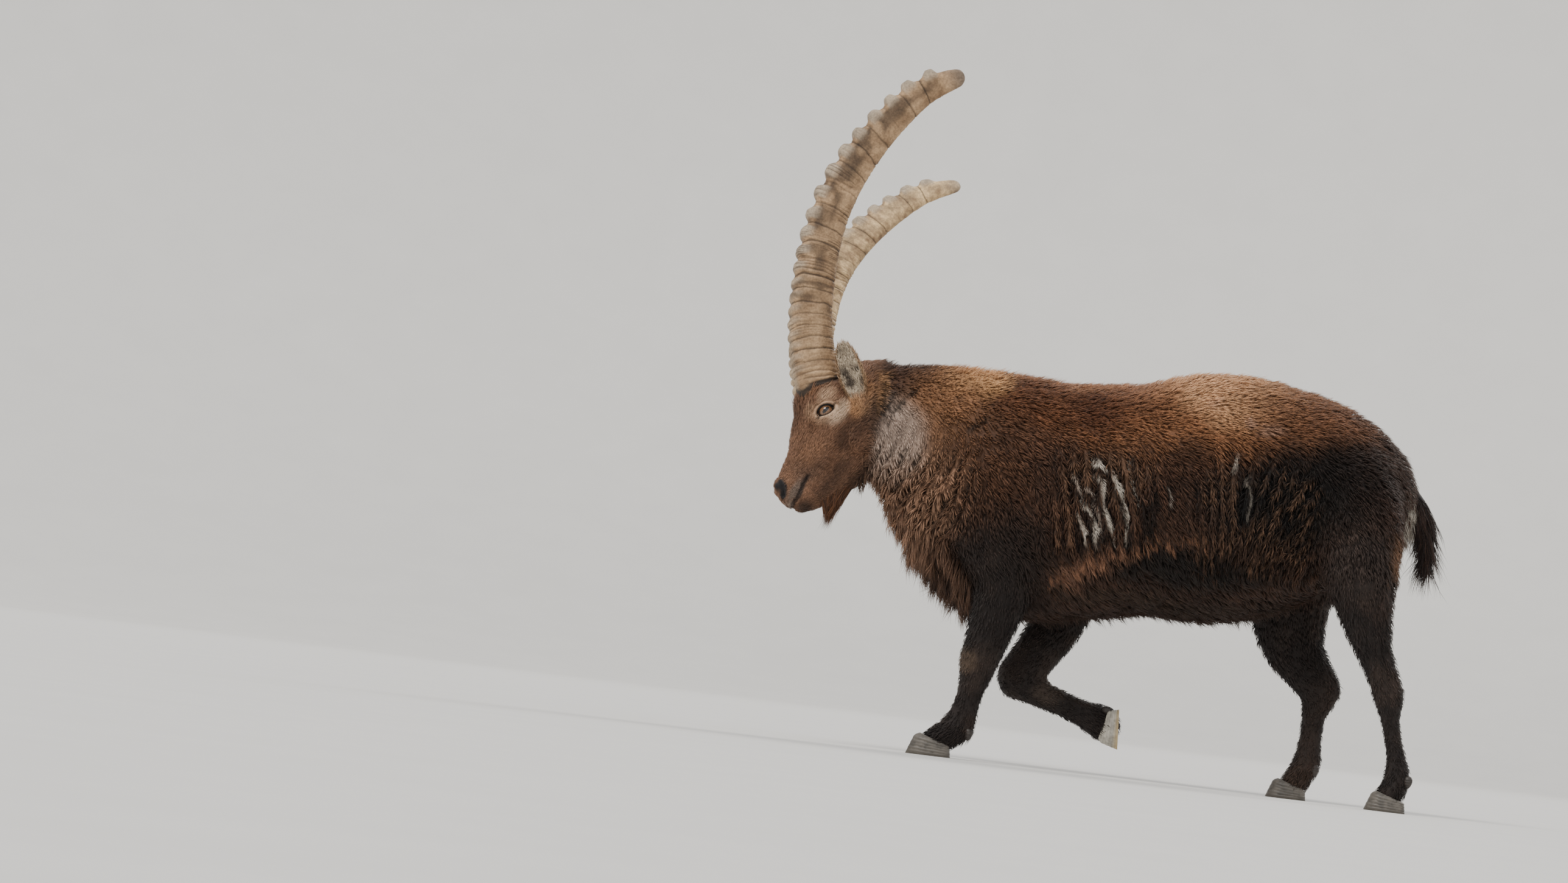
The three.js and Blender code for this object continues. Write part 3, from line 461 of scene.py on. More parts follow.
def lay(points, parts):
    """How deep the coat is and how long its hair at each place, and the shares of head and leg there."""
    x, y, z = points.T
    head = ramp(x, -512, -574)
    leg = ramp(parts["core"] - parts["limb"], -20, 40) * ramp(z, 520, 400)
    neck = ramp(x, -240, -330) * (1 - head)
    high_neck = ramp(z, 510, 640)
    muzzle = ramp(into_skull(points)[:, 0], 200, 285)
    shares = {
        "belly": ramp(z, 420, 350) * (1 - leg) * ramp(x, -260, -200),
        "brisket": ramp(x, -270, -330) * ramp(z, 470, 380) * ramp(np.abs(y), 110, 60) * (1 - leg),
        "leg": leg,
        "shin": leg * ramp(z, 300, 210),
    }
    found = []
    for amount in (DEPTH, HAIR):
        here = mix(amount["trunk"], mix(amount["low_neck"], amount["high_neck"], high_neck), neck)
        for part, share in shares.items():
            here = mix(here, amount[part], share)
        found.append(mix(here, mix(amount["face"], amount["muzzle"], muzzle), head))
    return found[0], found[1], head, leg


def skin(points):
    """Distance to the skin, which lies under the outline by the depth of the coat."""
    parts = anatomy(points)
    deep, _, head, leg = lay(points, parts)
    d = parts["outline"] + deep - FOLD_DEPTH * furrows(points) * (1 - head) * (1 - leg)
    rough = noise(points, 34, 20) + 0.5 * noise(points, 15, 21)
    return d + 1.6 * rough * (1 - head) * (1 - 0.6 * leg)


# The eye's opening: half length, half height above and below, and how far its front end rises
LID_LONG = 15.3
LID_HIGH = 10.3
LID_LOW = 9.0
LID_TILT = 0.27
LID_OPENING = 1.7


def lid_share(e):
    """0 in the middle of the eye's opening, 1 on its margin, for offsets from the eye's centre."""
    lift = e[:, 2] - LID_TILT * e[:, 0]
    return np.hypot(e[:, 0] / LID_LONG, lift / np.where(lift > 0, LID_HIGH, LID_LOW))


# Fillets of mouth and nostrils and of lips and lids, and how deep the skin of the latter lies in them
CUT_MELT = 5
LIP_MELT = 9
LIP_DEPTH = 2
FACE_MARGIN = 20
NOSTRIL = [(290, 23, -9, 4, 5), (297, 24, -17, 7.5, 6), (302, 21, -27, 7.5, 6), (304, 15, -37, 4, 4)]
MOUTH = [
    (311, 0, -64, 2.6, 2.6), (306, 14, -64, 2.6, 2.6), (291, 25, -62, 2.8, 2.8), (268, 31, -57, 2.8, 2.8),
    (246, 32, -51, 2.6, 2.6),
]
ADDED = {
    "nose": [(288, 8, -12, 12, 12), (296, 15, -20, 13, 12), (296, 10, -36, 12, 12)],
    "upper_lip": [(298, 10, -52, 11, 10), (280, 24, -49, 9, 8), (256, 29, -45, 8, 7)],
    "lower_lip": [(296, 6, -76, 9, 9), (276, 20, -72, 8, 8), (250, 26, -64, 8, 8)],
    "chewing": [(104, 42, -88, 30, 14), (128, 44, -72, 30, 14)],
    "lid": [(120, 55, 5, 21, 20), (129, 54, 4, 20, 19)],
}
nostrils = [Sweep(NOSTRIL, m) for m in (-1, 1)]
mouths = [Sweep(MOUTH, m) for m in (-1, 1)]
face_added = [Sweep(s, m) for m in (-1, 1) for s in ADDED.values()]


def face_skin(points):
    """The skin of the head, with lips, mouth and nostrils."""
    d = skin(points)
    q = into_skull(points)
    for sweep in face_added:
        close = sweep.near(q, FACE_MARGIN)
        this, _ = sweep.distance(q[close])
        d[close] = melt(d[close], this + LIP_DEPTH, LIP_MELT)
    for sweep in mouths + nostrils:
        close = sweep.near(q, FACE_MARGIN)
        d[close] = carve(d[close], sweep.distance(q[close])[0], CUT_MELT)
    return d


# The opening ends this far out from the eye's middle, and its edge is this soft
SOCKET_FLOOR = 4
SOCKET_MELT = 2.5
# How far head and neck are drawn in under each other, and where the head's skin ends inside the neck
HEAD_TUCK = 16
NECK_TUCK = 40
HEAD_END = -478


def head_skin(points):
    """The face's skin opened for the eyes."""
    d = face_skin(points)
    q = into_skull(points)
    for side in (-1, 1):
        e = (q - EYE_CENTRE * [1, side, 1]) * [1, side, 1]
        slit = (lid_share(e) - LID_OPENING) * LID_HIGH
        d = carve(d, np.maximum(slit, SOCKET_FLOOR - e[:, 1]), SOCKET_MELT)
    x = points[:, 0]
    return np.maximum(d + HEAD_TUCK * ramp(x, -520, -480), x - HEAD_END)


def body_skin(points):
    """The skin of neck, trunk and legs, drawn in where the head's skin covers it."""
    return skin(points) + NECK_TUCK * ramp(points[:, 0], -538, -600)


def stretch(coarse, count, factor):
    """Values of a coarse grid on a finer one, linear between."""
    for axis in range(3):
        position = np.arange(count[axis]) / factor
        low = np.minimum(position.astype(int), coarse.shape[axis] - 2)
        shape = [1, 1, 1]
        shape[axis] = -1
        t = (position - low).reshape(shape)
        coarse = np.take(coarse, low, axis) * (1 - t) + np.take(coarse, low + 1, axis) * t
    return coarse


# The four cells round an edge of the grid that runs along x, y or z, in turning order
EDGE_CELLS = [
    [(0, -1, -1), (0, 0, -1), (0, 0, 0), (0, -1, 0)],
    [(-1, 0, -1), (-1, 0, 0), (0, 0, 0), (0, 0, -1)],
    [(-1, -1, 0), (0, -1, 0), (0, 0, 0), (-1, 0, 0)],
]
# Values nearer the surface than this many coarse cells are worked out in full
FINE_BAND = 0.8


def surface(field, low, high, cell, factor=4):
    """Vertices on the field's zero surface and the quads between them."""
    low = np.array(low, float)
    count = np.ceil((np.array(high) - low) / cell / factor).astype(int) * factor + 1
    axes = [low[a] + cell * np.arange(count[a]) for a in range(3)]
    rough_axes = [a[::factor] for a in axes]
    nodes = np.stack(np.meshgrid(*rough_axes, indexing="ij"), axis=-1).reshape(-1, 3)
    rough = field(nodes).reshape([len(a) for a in rough_axes])
    values = stretch(rough, count, factor)
    close = np.argwhere(np.abs(values) < cell * factor * FINE_BAND)
    values[tuple(close.T)] = field(low + close * cell)
    for axis in range(3):
        for end in (0, -1):
            face = [slice(None)] * 3
            face[axis] = end
            values[tuple(face)] = np.maximum(values[tuple(face)], cell)
    inside = values < 0
    corners = [(a, b, c) for a in (0, 1) for b in (0, 1) for c in (0, 1)]
    size = [n - 1 for n in count]
    filled = np.zeros(size, np.int8)
    for a, b, c in corners:
        filled += inside[a:a + size[0], b:b + size[1], c:c + size[2]]
    cells = np.argwhere((filled > 0) & (filled < len(corners)))
    total = np.zeros((len(cells), 3))
    hits = np.zeros(len(cells))
    for one in corners:
        for two in corners:
            if sum(two) - sum(one) != 1 or sum(abs(p - q) for p, q in zip(one, two)) != 1:
                continue
            va = values[tuple((cells + one).T)]
            vb = values[tuple((cells + two).T)]
            cut = (va < 0) != (vb < 0)
            t = np.where(cut, va / np.where(cut, va - vb, 1), 0)
            spot = np.array(one) + np.outer(t, np.array(two) - one)
            total += spot * cut[:, None]
            hits += cut
    points = low + (cells + total / hits[:, None]) * cell
    number = np.full(size, -1)
    number[tuple(cells.T)] = np.arange(len(cells))
    quads = []
    for axis in range(3):
        ahead = np.roll(inside, -1, axis)
        cut = inside != ahead
        last = [slice(None)] * 3
        last[axis] = -1
        cut[tuple(last)] = False
        spots = np.argwhere(cut)
        flip = ~inside[tuple(spots.T)]
        quad = np.stack([number[tuple((spots + cell_at).T)] for cell_at in EDGE_CELLS[axis]], axis=1)
        quad[flip] = quad[flip][:, ::-1]
        quads.append(quad)
    points = settle(field, points, cell)
    return points, np.concatenate(quads)


def slope_of(field, points, step):
    """The field's values and how steeply it rises along x, y and z."""
    here = field(points)
    slope = np.stack([field(points + step * axis) - here for axis in np.eye(3)], axis=1) / step
    return here, slope


# Shares of a cell for the slope's step and the farthest move, and the least steepness that counts
SLOPE_STEP = 0.08
FARTHEST_MOVE = 0.4
LEAST_STEEP = 0.2


def settle(field, points, cell):
    """Moves vertices onto the field's zero surface."""
    for _ in range(2):
        here, slope = slope_of(field, points, cell * SLOPE_STEP)
        move = -here / np.maximum(np.sum(slope**2, axis=1), LEAST_STEEP)
        move = np.clip(move, -cell * FARTHEST_MOVE, cell * FARTHEST_MOVE)
        points = points + slope * move[:, None]
    return points


def paint(red, green, blue):
    """Light from a colour as a screen shows it, 0 to 255, by the screens' common curve."""
    c = np.array([red, green, blue]) / 255
    return np.where(c < 0.04045, c / 12.92, ((c + 0.055) / 1.055) ** 2.4)


BODY_COLOUR = paint(80, 55, 41)
# Markings of the coat by place: x, height, reach in x, reach in height, colour, strength
MARKINGS = [
    (40, 756, 420, 122, paint(164, 112, 76), 0.95),
    (-160, 745, 230, 95, paint(116, 73, 47), 0.9),
    (-108, 726, 60, 48, paint(92, 56, 37), 0.6),
    (-90, 806, 240, 52, paint(192, 140, 104), 0.85),
    (-225, 655, 60, 40, paint(130, 90, 68), 0.5),
    (180, 808, 175, 88, paint(240, 186, 138), 0.9),
    (330, 780, 170, 95, paint(134, 90, 62), 0.85),
    (-350, 770, 85, 60, paint(244, 188, 130), 0.95),
    (-400, 690, 110, 120, paint(164, 116, 80), 0.85),
    (-300, 610, 120, 120, paint(104, 71, 50), 0.7),
    (-440, 520, 130, 170, paint(160, 124, 99), 0.75),
    (430, 640, 150, 105, paint(47, 34, 28), 0.95),
    (100, 640, 90, 66, paint(76, 51, 37), 0.75),
    (200, 575, 110, 90, paint(42, 31, 25), 0.8),
    (340, 640, 150, 112, paint(29, 21, 17), 0.92),
    # Partly the flank's dark coat, partly painted shade low on the flank
    (300, 560, 130, 122, paint(25, 19, 15), 0.9),
    # Painted sheen: a grey-brown tone where the thigh's hair shines
    (470, 480, 110, 130, paint(66, 55, 50), 0.95),
    # Partly the belly's dark coat, partly painted shade under the trunk, near black
    (110, 445, 270, 62, paint(25, 19, 15), 0.92),
    (-235, 420, 120, 110, paint(46, 36, 31), 0.9),
    # Painted highlight: a lit band along the lower belly
    (60, 372, 280, 24, paint(70, 55, 43), 0.7),
    (-118, 408, 46, 27, paint(136, 99, 78), 0.85),
    (-70, 434, 46, 27, paint(142, 103, 81), 0.85),
    (-16, 460, 46, 20, paint(136, 98, 76), 0.85),
    (208, 742, 16, 14, paint(190, 150, 128), 0.6),
    (254, 733, 28, 12, paint(172, 136, 116), 0.5),
    (142, 766, 16, 9, paint(226, 176, 140), 0.6),
    (160, 520, 60, 20, paint(70, 50, 38), 0.6),
    (250, 492, 80, 22, paint(72, 52, 40), 0.6),
    (538, 512, 26, 50, paint(132, 95, 68), 0.8),
    (-480, 632, 64, 100, paint(202, 179, 163), 0.88),
    (-508, 752, 44, 40, paint(82, 55, 40), 0.9),
    (-532, 718, 26, 44, paint(200, 152, 106), 0.65),
    (600, 600, 26, 42, paint(214, 204, 190), 0.95),
    (-60, 610, 90, 55, paint(104, 77, 58), 0.6),
]
LEG_COLOUR = paint(42, 34, 31)
# Paler patches of single legs: x, height, stretch in height, outer and inner reach, side, colour
# and strength
# The patches are partly paler hair, partly painted highlight on shin and knee
LEG_MARKINGS = [
    (-296, 205, 1.0, 36, 12, -1, paint(104, 86, 70), 0.8),
    (-118, 165, 1.0, 42, 14, 1, paint(92, 78, 68), 0.7),
    (-12, 262, 1.6, 26, 8, 1, paint(112, 96, 76), 0.6),
]
FETLOCK_COLOUR = paint(86, 68, 56)
LIT_LEG_COLOUR = paint(72, 58, 50)
LIT_FOLD_COLOUR = paint(108, 80, 60)
BELLY_AND_SHADE_COLOUR = paint(50, 38, 31)
WOOL = paint(226, 216, 202)
FACE_COLOUR = paint(134, 99, 76)
# Markings of the head in the skull's own frame: middle, reach, colour, strength
FACE_MARKINGS = [
    ((232, 36, -40), (50, 30, 34), paint(112, 86, 70), 0.7),
    ((66, 64, -84), (44, 40, 40), paint(140, 118, 102), 0.6),
    ((100, 38, 56), (44, 30, 20), paint(164, 112, 74), 0.8),
    ((160, 14, 52), (76, 46, 36), paint(100, 71, 53), 0.9),
    # Painted shade on the cheek
    ((132, 55, -64), (56, 44, 30), paint(78, 56, 44), 0.65),
    ((124, 58, 4), (36, 30, 28), paint(200, 168, 138), 0.75),
    ((102, 52, 24), (32, 32, 20), paint(228, 194, 160), 0.9),
    ((112, 60, -20), (38, 30, 20), paint(222, 194, 166), 0.9),
    ((142, 50, 22), (24, 30, 18), paint(190, 156, 124), 0.65),
    ((76, 62, -40), (36, 34, 28), paint(206, 156, 110), 0.75),
    ((42, 70, -22), (26, 30, 34), paint(170, 126, 88), 0.6),
    # Painted shade along the lower edge of the cheek
    ((96, 60, -80), (50, 40, 26), paint(86, 61, 47), 0.65),
    ((218, 40, -92), (70, 60, 24), paint(78, 57, 45), 0.75),
    ((212, 40, -26), (40, 40, 24), paint(150, 110, 82), 0.6),
    ((286, 20, -52), (36, 40, 15), paint(118, 104, 94), 0.85),
    ((300, 18, -88), (26, 40, 20), paint(60, 45, 37), 0.85),
    ((306, 6, -58), (9, 14, 8), paint(190, 178, 164), 0.7),
    # Painted shade under the jaw
    ((150, 30, -138), (110, 60, 36), paint(40, 29, 23), 0.95),
    ((60, 60, -60), (34, 40, 40), paint(120, 94, 75), 0.5),
]
BARE_NOSE = paint(34, 31, 32)


def near_marking(offset, reach):
    """1 in the middle of a marking, 0 just beyond its reach."""
    return ramp(np.linalg.norm(offset / np.array(reach, float), axis=1), 1.15, 0.35)


def coat_colour(points, parts):
    """The colour of the coat at each place, with painted shade and light where marked."""
    warp = points + 14 * np.stack([noise(points, 48, s) for s in (31, 32, 33)], axis=1)
    x, y, z = warp.T
    colour = np.tile(BODY_COLOUR, (len(points), 1))
    for at_x, at_z, reach_x, reach_z, tone, strength in MARKINGS:
        here = near_marking(np.stack([x - at_x, z - at_z], axis=1), (reach_x, reach_z)) * strength
        colour = mix(colour, tone, here[:, None])
    # The underside darker: partly the belly's own dark coat, partly painted shade under the trunk
    below = ramp(np.abs(y), 120, 60) * ramp(z, 470, 380)
    colour = mix(colour, BELLY_AND_SHADE_COLOUR, 0.6 * below[:, None])
    leg = ramp(parts["core"] - parts["limb"], -30, 30) * ramp(z, 480, 360)
    leg_tone = np.tile(LEG_COLOUR, (len(points), 1))
    for at_x, at_z, stretch, outer, inner, side, tone, strength in LEG_MARKINGS:
        here = ramp(np.hypot(x - at_x, (z - at_z) / stretch), outer, inner) * (y * side > 0)
        leg_tone = mix(leg_tone, tone, strength * here[:, None])
    fetlock = ramp(z, 95, 60) * (x > 300) * (x < 480)
    leg_tone = mix(leg_tone, FETLOCK_COLOUR, 0.55 * fetlock[:, None])
    lit = ramp(noise(points, 38, 44), -0.2, 0.7)
    leg_tone = mix(leg_tone, LIT_LEG_COLOUR, 0.5 * lit[:, None])
    colour = mix(colour, leg_tone, leg[:, None])
    # Painted shade in the troughs of the folds and painted highlight on their ridges, a brighter copy of
    # the redder coat on the chest
    folds = furrows(points) * (1 - leg)
    colour = colour * (1 - 0.74 * ramp(folds, 0.3, -0.7))[:, None]
    lit_ridge = 0.6 * ramp(folds, 0.2, 0.9) * ramp(noise(points, 33, 45), -0.6, 0.4)
    colour = mix(colour, LIT_FOLD_COLOUR, (lit_ridge * ramp(x, -250, -150))[:, None])
    colour = mix(colour, colour * 1.3, (ramp(folds, 0.2, 0.9) * ramp(x, -150, -250))[:, None])
    # Crimped hair of neck and thigh; on the thigh its light and dark waves also paint the sheen of the hair
    crimped = np.maximum(ramp(x, -300, -380), ramp(x, 370, 430) * ramp(z, 620, 540) * (y < 0))
    crimp = noise(points * [1, 1, 0.35], 9, 47) * crimped
    colour = colour * (1 + 0.3 * crimp)[:, None]
    # Pale wool, with painted shade in the crease beside each streak
    wool, pale, crease = streak(points)
    near_side = ramp(-points[:, 1], 40, 90)
    colour = colour * (1 - 0.7 * crease * near_side)[:, None]
    colour = mix(colour, WOOL, (wool * pale * near_side)[:, None])
    # Painted shade along the creases
    crease_shade = ramp(nearest_line(points, CREASES)[0] + 1.2 * noise(points, 14, 46), 4, -0.5)
    colour = colour * (1 - 0.8 * crease_shade)[:, None]
    head = ramp(points[:, 0] + 12 * noise(points, 30, 40), -522, -566)
    if head.any():
        q = into_skull(points)
        q[:, 1] = np.abs(q[:, 1])
        q += 5 * np.stack([noise(q, 22, s) for s in (41, 42, 43)], axis=1)
        face = np.tile(FACE_COLOUR, (len(points), 1))
        for middle, reach, tone, strength in FACE_MARKINGS:
            here = near_marking(q - middle, reach) * strength
            face = mix(face, tone, here[:, None])
        # After the mirroring, the right mouth and nostril stand for both
        lips = ramp(np.abs(mouths[1].distance(q)[0]), 5, 0)
        nose = np.maximum(ramp(nostrils[1].distance(q)[0], 7, 2), 0.8 * lips)
        face = mix(face, BARE_NOSE, nose[:, None])
        colour = mix(colour, face, head[:, None])
    cloud = 1 + 0.13 * noise(points, 26, 50) + 0.1 * noise(points, 9, 51)
    return np.clip(colour * cloud[:, None], 0, 1)


def lie_of(points, normals, parts):
    """The direction in which the hair lies, along the skin."""
    x, y, z = points.T
    side = ramp(np.abs(normals[:, 1]), 0.2, 0.8)
    head = ramp(x, -515, -570)[:, None]
    leg = (ramp(parts["core"] - parts["limb"], -20, 40) * ramp(z, 560, 420))[:, None]
    down = 0.15 + 0.75 * side * ramp(z, 800, 600) + 0.5 * side * ramp(z, 640, 480)
    down += 0.5 * ramp(x, 330, 480)
    flow = np.stack([np.ones_like(x), np.zeros_like(x), -down], axis=1)
    neck = ramp(x, -250, -400)[:, None]
    low_neck = ramp(z, 760, 560)[:, None]
    neck_flow = mix(np.array([1.0, 0, -0.35]), np.array([0.25, 0, -1.0]), low_neck)
    flow = mix(flow, neck_flow, neck)
    upright = folded(points)[0][:, None]
    lean = np.stack([fold_lean(points), np.zeros_like(x), np.full_like(x, -1.0)], axis=1)
    flow = mix(flow, lean, upright * (1 - leg))
    flow = mix(unit(flow), parts["run"], leg)
    face_back = -SKULL_TURN[:, 0]
    flow = mix(flow, face_back, head)
    swirl = np.stack([noise(points, 42, s) for s in (61, 62, 63)], axis=1)
    calm_neck = 0.8 * neck * ramp(z, 520, 620)[:, None]
    calm = np.maximum(np.maximum(head, leg), np.maximum(upright, calm_neck))
    flow = unit(flow) + swirl * mix(0.32, 0.1, calm)
    flow -= normals * np.sum(flow * normals, axis=1, keepdims=True)
    return unit(flow)


def new_mesh(name, points, faces):
    """A mesh from vertices in metres and faces that all have as many corners."""
    faces = np.asarray(faces)
    corners = faces.shape[1]
    mesh = bpy.data.meshes.new(name)
    mesh.vertices.add(len(points))
    mesh.vertices.foreach_set("co", np.asarray(points, np.float32).ravel())
    mesh.loops.add(faces.size)
    mesh.loops.foreach_set("vertex_index", faces.astype(np.int32).ravel())
    mesh.polygons.add(len(faces))
    mesh.polygons.foreach_set("loop_start", np.arange(0, faces.size, corners, dtype=np.int32))
    mesh.update(calc_edges=True)
    mesh.validate()
    mesh.shade_smooth()
    return mesh


def tell(mesh, name, values, kind="FLOAT", domain="POINT"):
    """Stores values on the mesh for its material or its tree."""
    key = {"FLOAT": "value", "FLOAT_VECTOR": "vector", "FLOAT_COLOR": "color", "FLOAT2": "vector"}[kind]
    layer = mesh.attributes.new(name, kind, domain)
    layer.data.foreach_set(key, np.ascontiguousarray(values, np.float32).ravel())


def tell_tint(mesh, colour):
    """Stores a colour for each vertex, as opaque."""
    opaque = np.concatenate([colour, np.ones((len(colour), 1))], axis=1)
    tell(mesh, "tint", opaque, "FLOAT_COLOR")


def tell_unwrap(mesh, corners):
    """Stores each face corner's place in the UV map that the export bakes to."""
    tell(mesh, "OFBake", corners.reshape(-1, 2), "FLOAT2", "CORNER")


def keep(mesh, name, slot, material, *nodes):
    """Makes a mesh a finished piece of the object, which may stand for some of its nodes."""
    piece = bpy.data.objects.new(name, mesh)
    bpy.context.scene.collection.objects.link(piece)
    mesh.materials.clear()
    mesh.materials.append(material)
    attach(piece, "root")
    if nodes:
        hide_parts(*nodes)
    return piece


VALUE_RESULTS = ("DOT_PRODUCT", "LENGTH", "DISTANCE")


class Tree:
    """A node tree that is written line by line."""

    def __init__(self, tree):
        self.tree = tree

    def add(self, kind, **values):
        node = self.tree.nodes.new(kind)
        for key, value in values.items():
            setattr(node, key, value)
        return node

    def link(self, out, into):
        self.tree.links.new(out, into)

    def vector(self, operation, *inputs):
        return self.operate("ShaderNodeVectorMath", operation, inputs)

    def number(self, operation, *inputs):
        return self.operate("ShaderNodeMath", operation, inputs)

    def operate(self, kind, operation, inputs):
        node = self.add(kind, operation=operation)
        for socket, value in zip(node.inputs, inputs):
            if isinstance(value, bpy.types.NodeSocket):
                self.link(value, socket)
            else:
                socket.default_value = value
        return node.outputs["Value"] if operation in VALUE_RESULTS else node.outputs[0]

    def times(self, one, two):
        return self.number("MULTIPLY", one, two)

    def told(self, name, output):
        """What tell stored on the mesh under this name."""
        return self.add("ShaderNodeAttribute", attribute_name=name).outputs[output]

    def own_place(self):
        """The place on the piece, which patterns follow."""
        return self.add("ShaderNodeTexCoord").outputs["Object"]


def new_material(name):
    """A material, its tree and its shader."""
    material = bpy.data.materials.new(name)
    material.use_nodes = True
    tree = Tree(material.node_tree)
    shader = material.node_tree.nodes["Principled BSDF"]
    return material, tree, shader


def set_inputs(node, **values):
    """Sets plain values on a node's sockets; an underscore stands for a space in a socket's name."""
    for key, value in values.items():
        node.inputs[key.replace("_", " ")].default_value = value


def scaled(tree, vector, factor):
    """A vector or colour times a number."""
    node = tree.add("ShaderNodeVectorMath", operation="SCALE")
    tree.link(vector, node.inputs[0])
    if isinstance(factor, bpy.types.NodeSocket):
        tree.link(factor, node.inputs["Scale"])
    else:
        node.inputs["Scale"].default_value = factor
    return node.outputs[0]


def speckle(tree, coordinates, scale, detail=3.0):
    """Fine cloudy noise, finer with a larger scale."""
    node = tree.add("ShaderNodeTexNoise")
    tree.link(coordinates, node.inputs["Vector"])
    set_inputs(node, Scale=scale, Detail=detail, Roughness=0.6)
    return node.outputs["Fac"]


def spread(tree, value, low, high, into_low, into_high):
    """Values from low to high carried smoothly into another range."""
    node = tree.add("ShaderNodeMapRange", interpolation_type="SMOOTHSTEP")
    tree.link(value, node.inputs["Value"])
    set_inputs(node, From_Min=low, From_Max=high, To_Min=into_low, To_Max=into_high)
    return node.outputs["Result"]


def bump(tree, shader, height, distance, strength):
    """Raises the surface in its shading by a height, in metres at most the distance."""
    node = tree.add("ShaderNodeBump")
    set_inputs(node, Distance=distance, Strength=strength)
    tree.link(height, node.inputs["Height"])
    tree.link(node.outputs["Normal"], shader.inputs["Normal"])


def blend(tree, fac, one, two):
    """Colour one where fac is 0, colour two where it is 1."""
    node = tree.add("ShaderNodeMix", data_type="RGBA")
    # Sockets 6 and 7 are the two colours, and output 2 is the mixed one
    for socket, value in zip((node.inputs[0], node.inputs[6], node.inputs[7]), (fac, one, two)):
        if isinstance(value, bpy.types.NodeSocket):
            tree.link(value, socket)
        elif socket == node.inputs[0]:
            socket.default_value = value
        else:
            socket.default_value = (*value, 1.0)
    return node.outputs[2]


# How high a pattern in the shading stands, in metres
BUMP_HEIGHT = 0.0012


def coat_material(name, roughness, sheen):
    """Hair in its own tint, darker at the root, paler at the tip, a little unlike its neighbours."""
    material, tree, shader = new_material(name)
    place_of = tree.own_place()
    along = spread(tree, tree.told("reach", "Fac"), 0.0, 0.8, 0.62, 1.22)
    each = spread(tree, tree.told("shade", "Fac"), 0.0, 1.0, 0.72, 1.3)
    grain = spread(tree, speckle(tree, place_of, 260.0), 0.3, 0.7, 0.84, 1.16)
    factor = tree.times(tree.times(along, each), grain)
    tree.link(scaled(tree, tree.told("tint", "Color"), factor), shader.inputs["Base Color"])
    set_inputs(shader, Roughness=roughness, Sheen_Weight=sheen, Sheen_Roughness=0.45)
    set_inputs(shader, Specular_IOR_Level=0.22)
    bump(tree, shader, speckle(tree, place_of, 420.0, 2.0), BUMP_HEIGHT, 0.7)
    return material


COAT = coat_material("coat", 0.62, 0.05)
FACE = coat_material("face", 0.6, 0.04)


# What the tuft tree is given: roots, joints along a tuft, how full its middle is, how many radians
# its curl turns, how much of the unwrap it takes, and its material
TUFT_INPUTS = {
    "Roots": "Geometry", "Joints": "Int", "Fullness": "Float", "Waves": "Float",
    "Patch": "Float", "Finish": "Material",
}


def grow_tree():
    """Grows a bent, tapered three-sided tuft on every root."""
    tree = bpy.data.node_groups.new("tufts", "GeometryNodeTree")
    for name, kind in TUFT_INPUTS.items():
        tree.interface.new_socket(name, in_out="INPUT", socket_type="NodeSocket" + kind)
    tree.interface.new_socket("Coat", in_out="OUTPUT", socket_type="NodeSocketGeometry")
    t = Tree(tree)
    given = t.add("NodeGroupInput").outputs
    cone = t.add("GeometryNodeMeshCone", fill_type="NGON")
    set_inputs(cone, Vertices=3, Radius_Top=0.0, Radius_Bottom=1.0, Depth=1.0)
    t.link(given["Joints"], cone.inputs["Side Segments"])

    def store(geometry, name, value, kind, domain="POINT"):
        node = t.add("GeometryNodeStoreNamedAttribute", data_type=kind, domain=domain)
        node.inputs["Name"].default_value = name
        t.link(geometry, node.inputs["Geometry"])
        t.link(value, node.inputs["Value"])
        return node.outputs["Geometry"]

    def read(name, kind="FLOAT_VECTOR"):
        node = t.add("GeometryNodeInputNamedAttribute", data_type=kind)
        node.inputs["Name"].default_value = name
        return node.outputs["Attribute"]

    spot = t.add("GeometryNodeInputPosition").outputs["Position"]
    tuft = store(cone.outputs["Mesh"], "spot", spot, "FLOAT_VECTOR")
    scatter = t.add("GeometryNodeInstanceOnPoints")
    t.link(given["Roots"], scatter.inputs["Points"])
    t.link(tuft, scatter.inputs["Instance"])
    real = t.add("GeometryNodeRealizeInstances")
    t.link(scatter.outputs["Instances"], real.inputs["Geometry"])
    split = t.add("ShaderNodeSeparateXYZ")
    t.link(read("spot"), split.inputs[0])
    # Far is 0 at the root and 1 at the tip; root, knee and tip bend the tuft along one curve
    wide, thick, far = split.outputs
    rest = t.number("SUBTRACT", 1.0, far)
    full = t.number("ADD", 1.0, t.times(far, given["Fullness"]))
    turn = t.number("SINE", t.number("ADD", t.times(far, given["Waves"]), read("phase", "FLOAT")))
    middle = scaled(t, read("root"), t.times(rest, rest))
    for key, factor in (
        ("knee", t.times(t.times(far, rest), 2.0)),
        ("tip", t.times(far, far)),
        ("curl", t.times(turn, far)),
        ("across", t.times(wide, full)),
        ("rise", t.times(thick, full)),
    ):
        middle = t.vector("ADD", middle, scaled(t, read(key), factor))
    bend = t.add("GeometryNodeSetPosition")
    t.link(real.outputs["Geometry"], bend.inputs["Geometry"])
    t.link(middle, bend.inputs["Position"])
    flat = t.add("ShaderNodeCombineXYZ")
    t.link(wide, flat.inputs[0])
    t.link(far, flat.inputs[1])
    patch = t.vector("ADD", read("root_uv"), scaled(t, flat.outputs[0], given["Patch"]))
    out = store(bend.outputs["Geometry"], "reach", far, "FLOAT")
    out = store(out, "OFBake", patch, "FLOAT2", "CORNER")
    finish = t.add("GeometryNodeSetMaterial")
    t.link(out, finish.inputs["Geometry"])
    t.link(given["Finish"], finish.inputs["Material"])
    t.link(finish.outputs["Geometry"], t.add("NodeGroupOutput").inputs["Coat"])
    return tree


TUFTS = grow_tree()
# How much of the unwrap's width a tuft takes
OFBAKE_PATCH = 0.0015


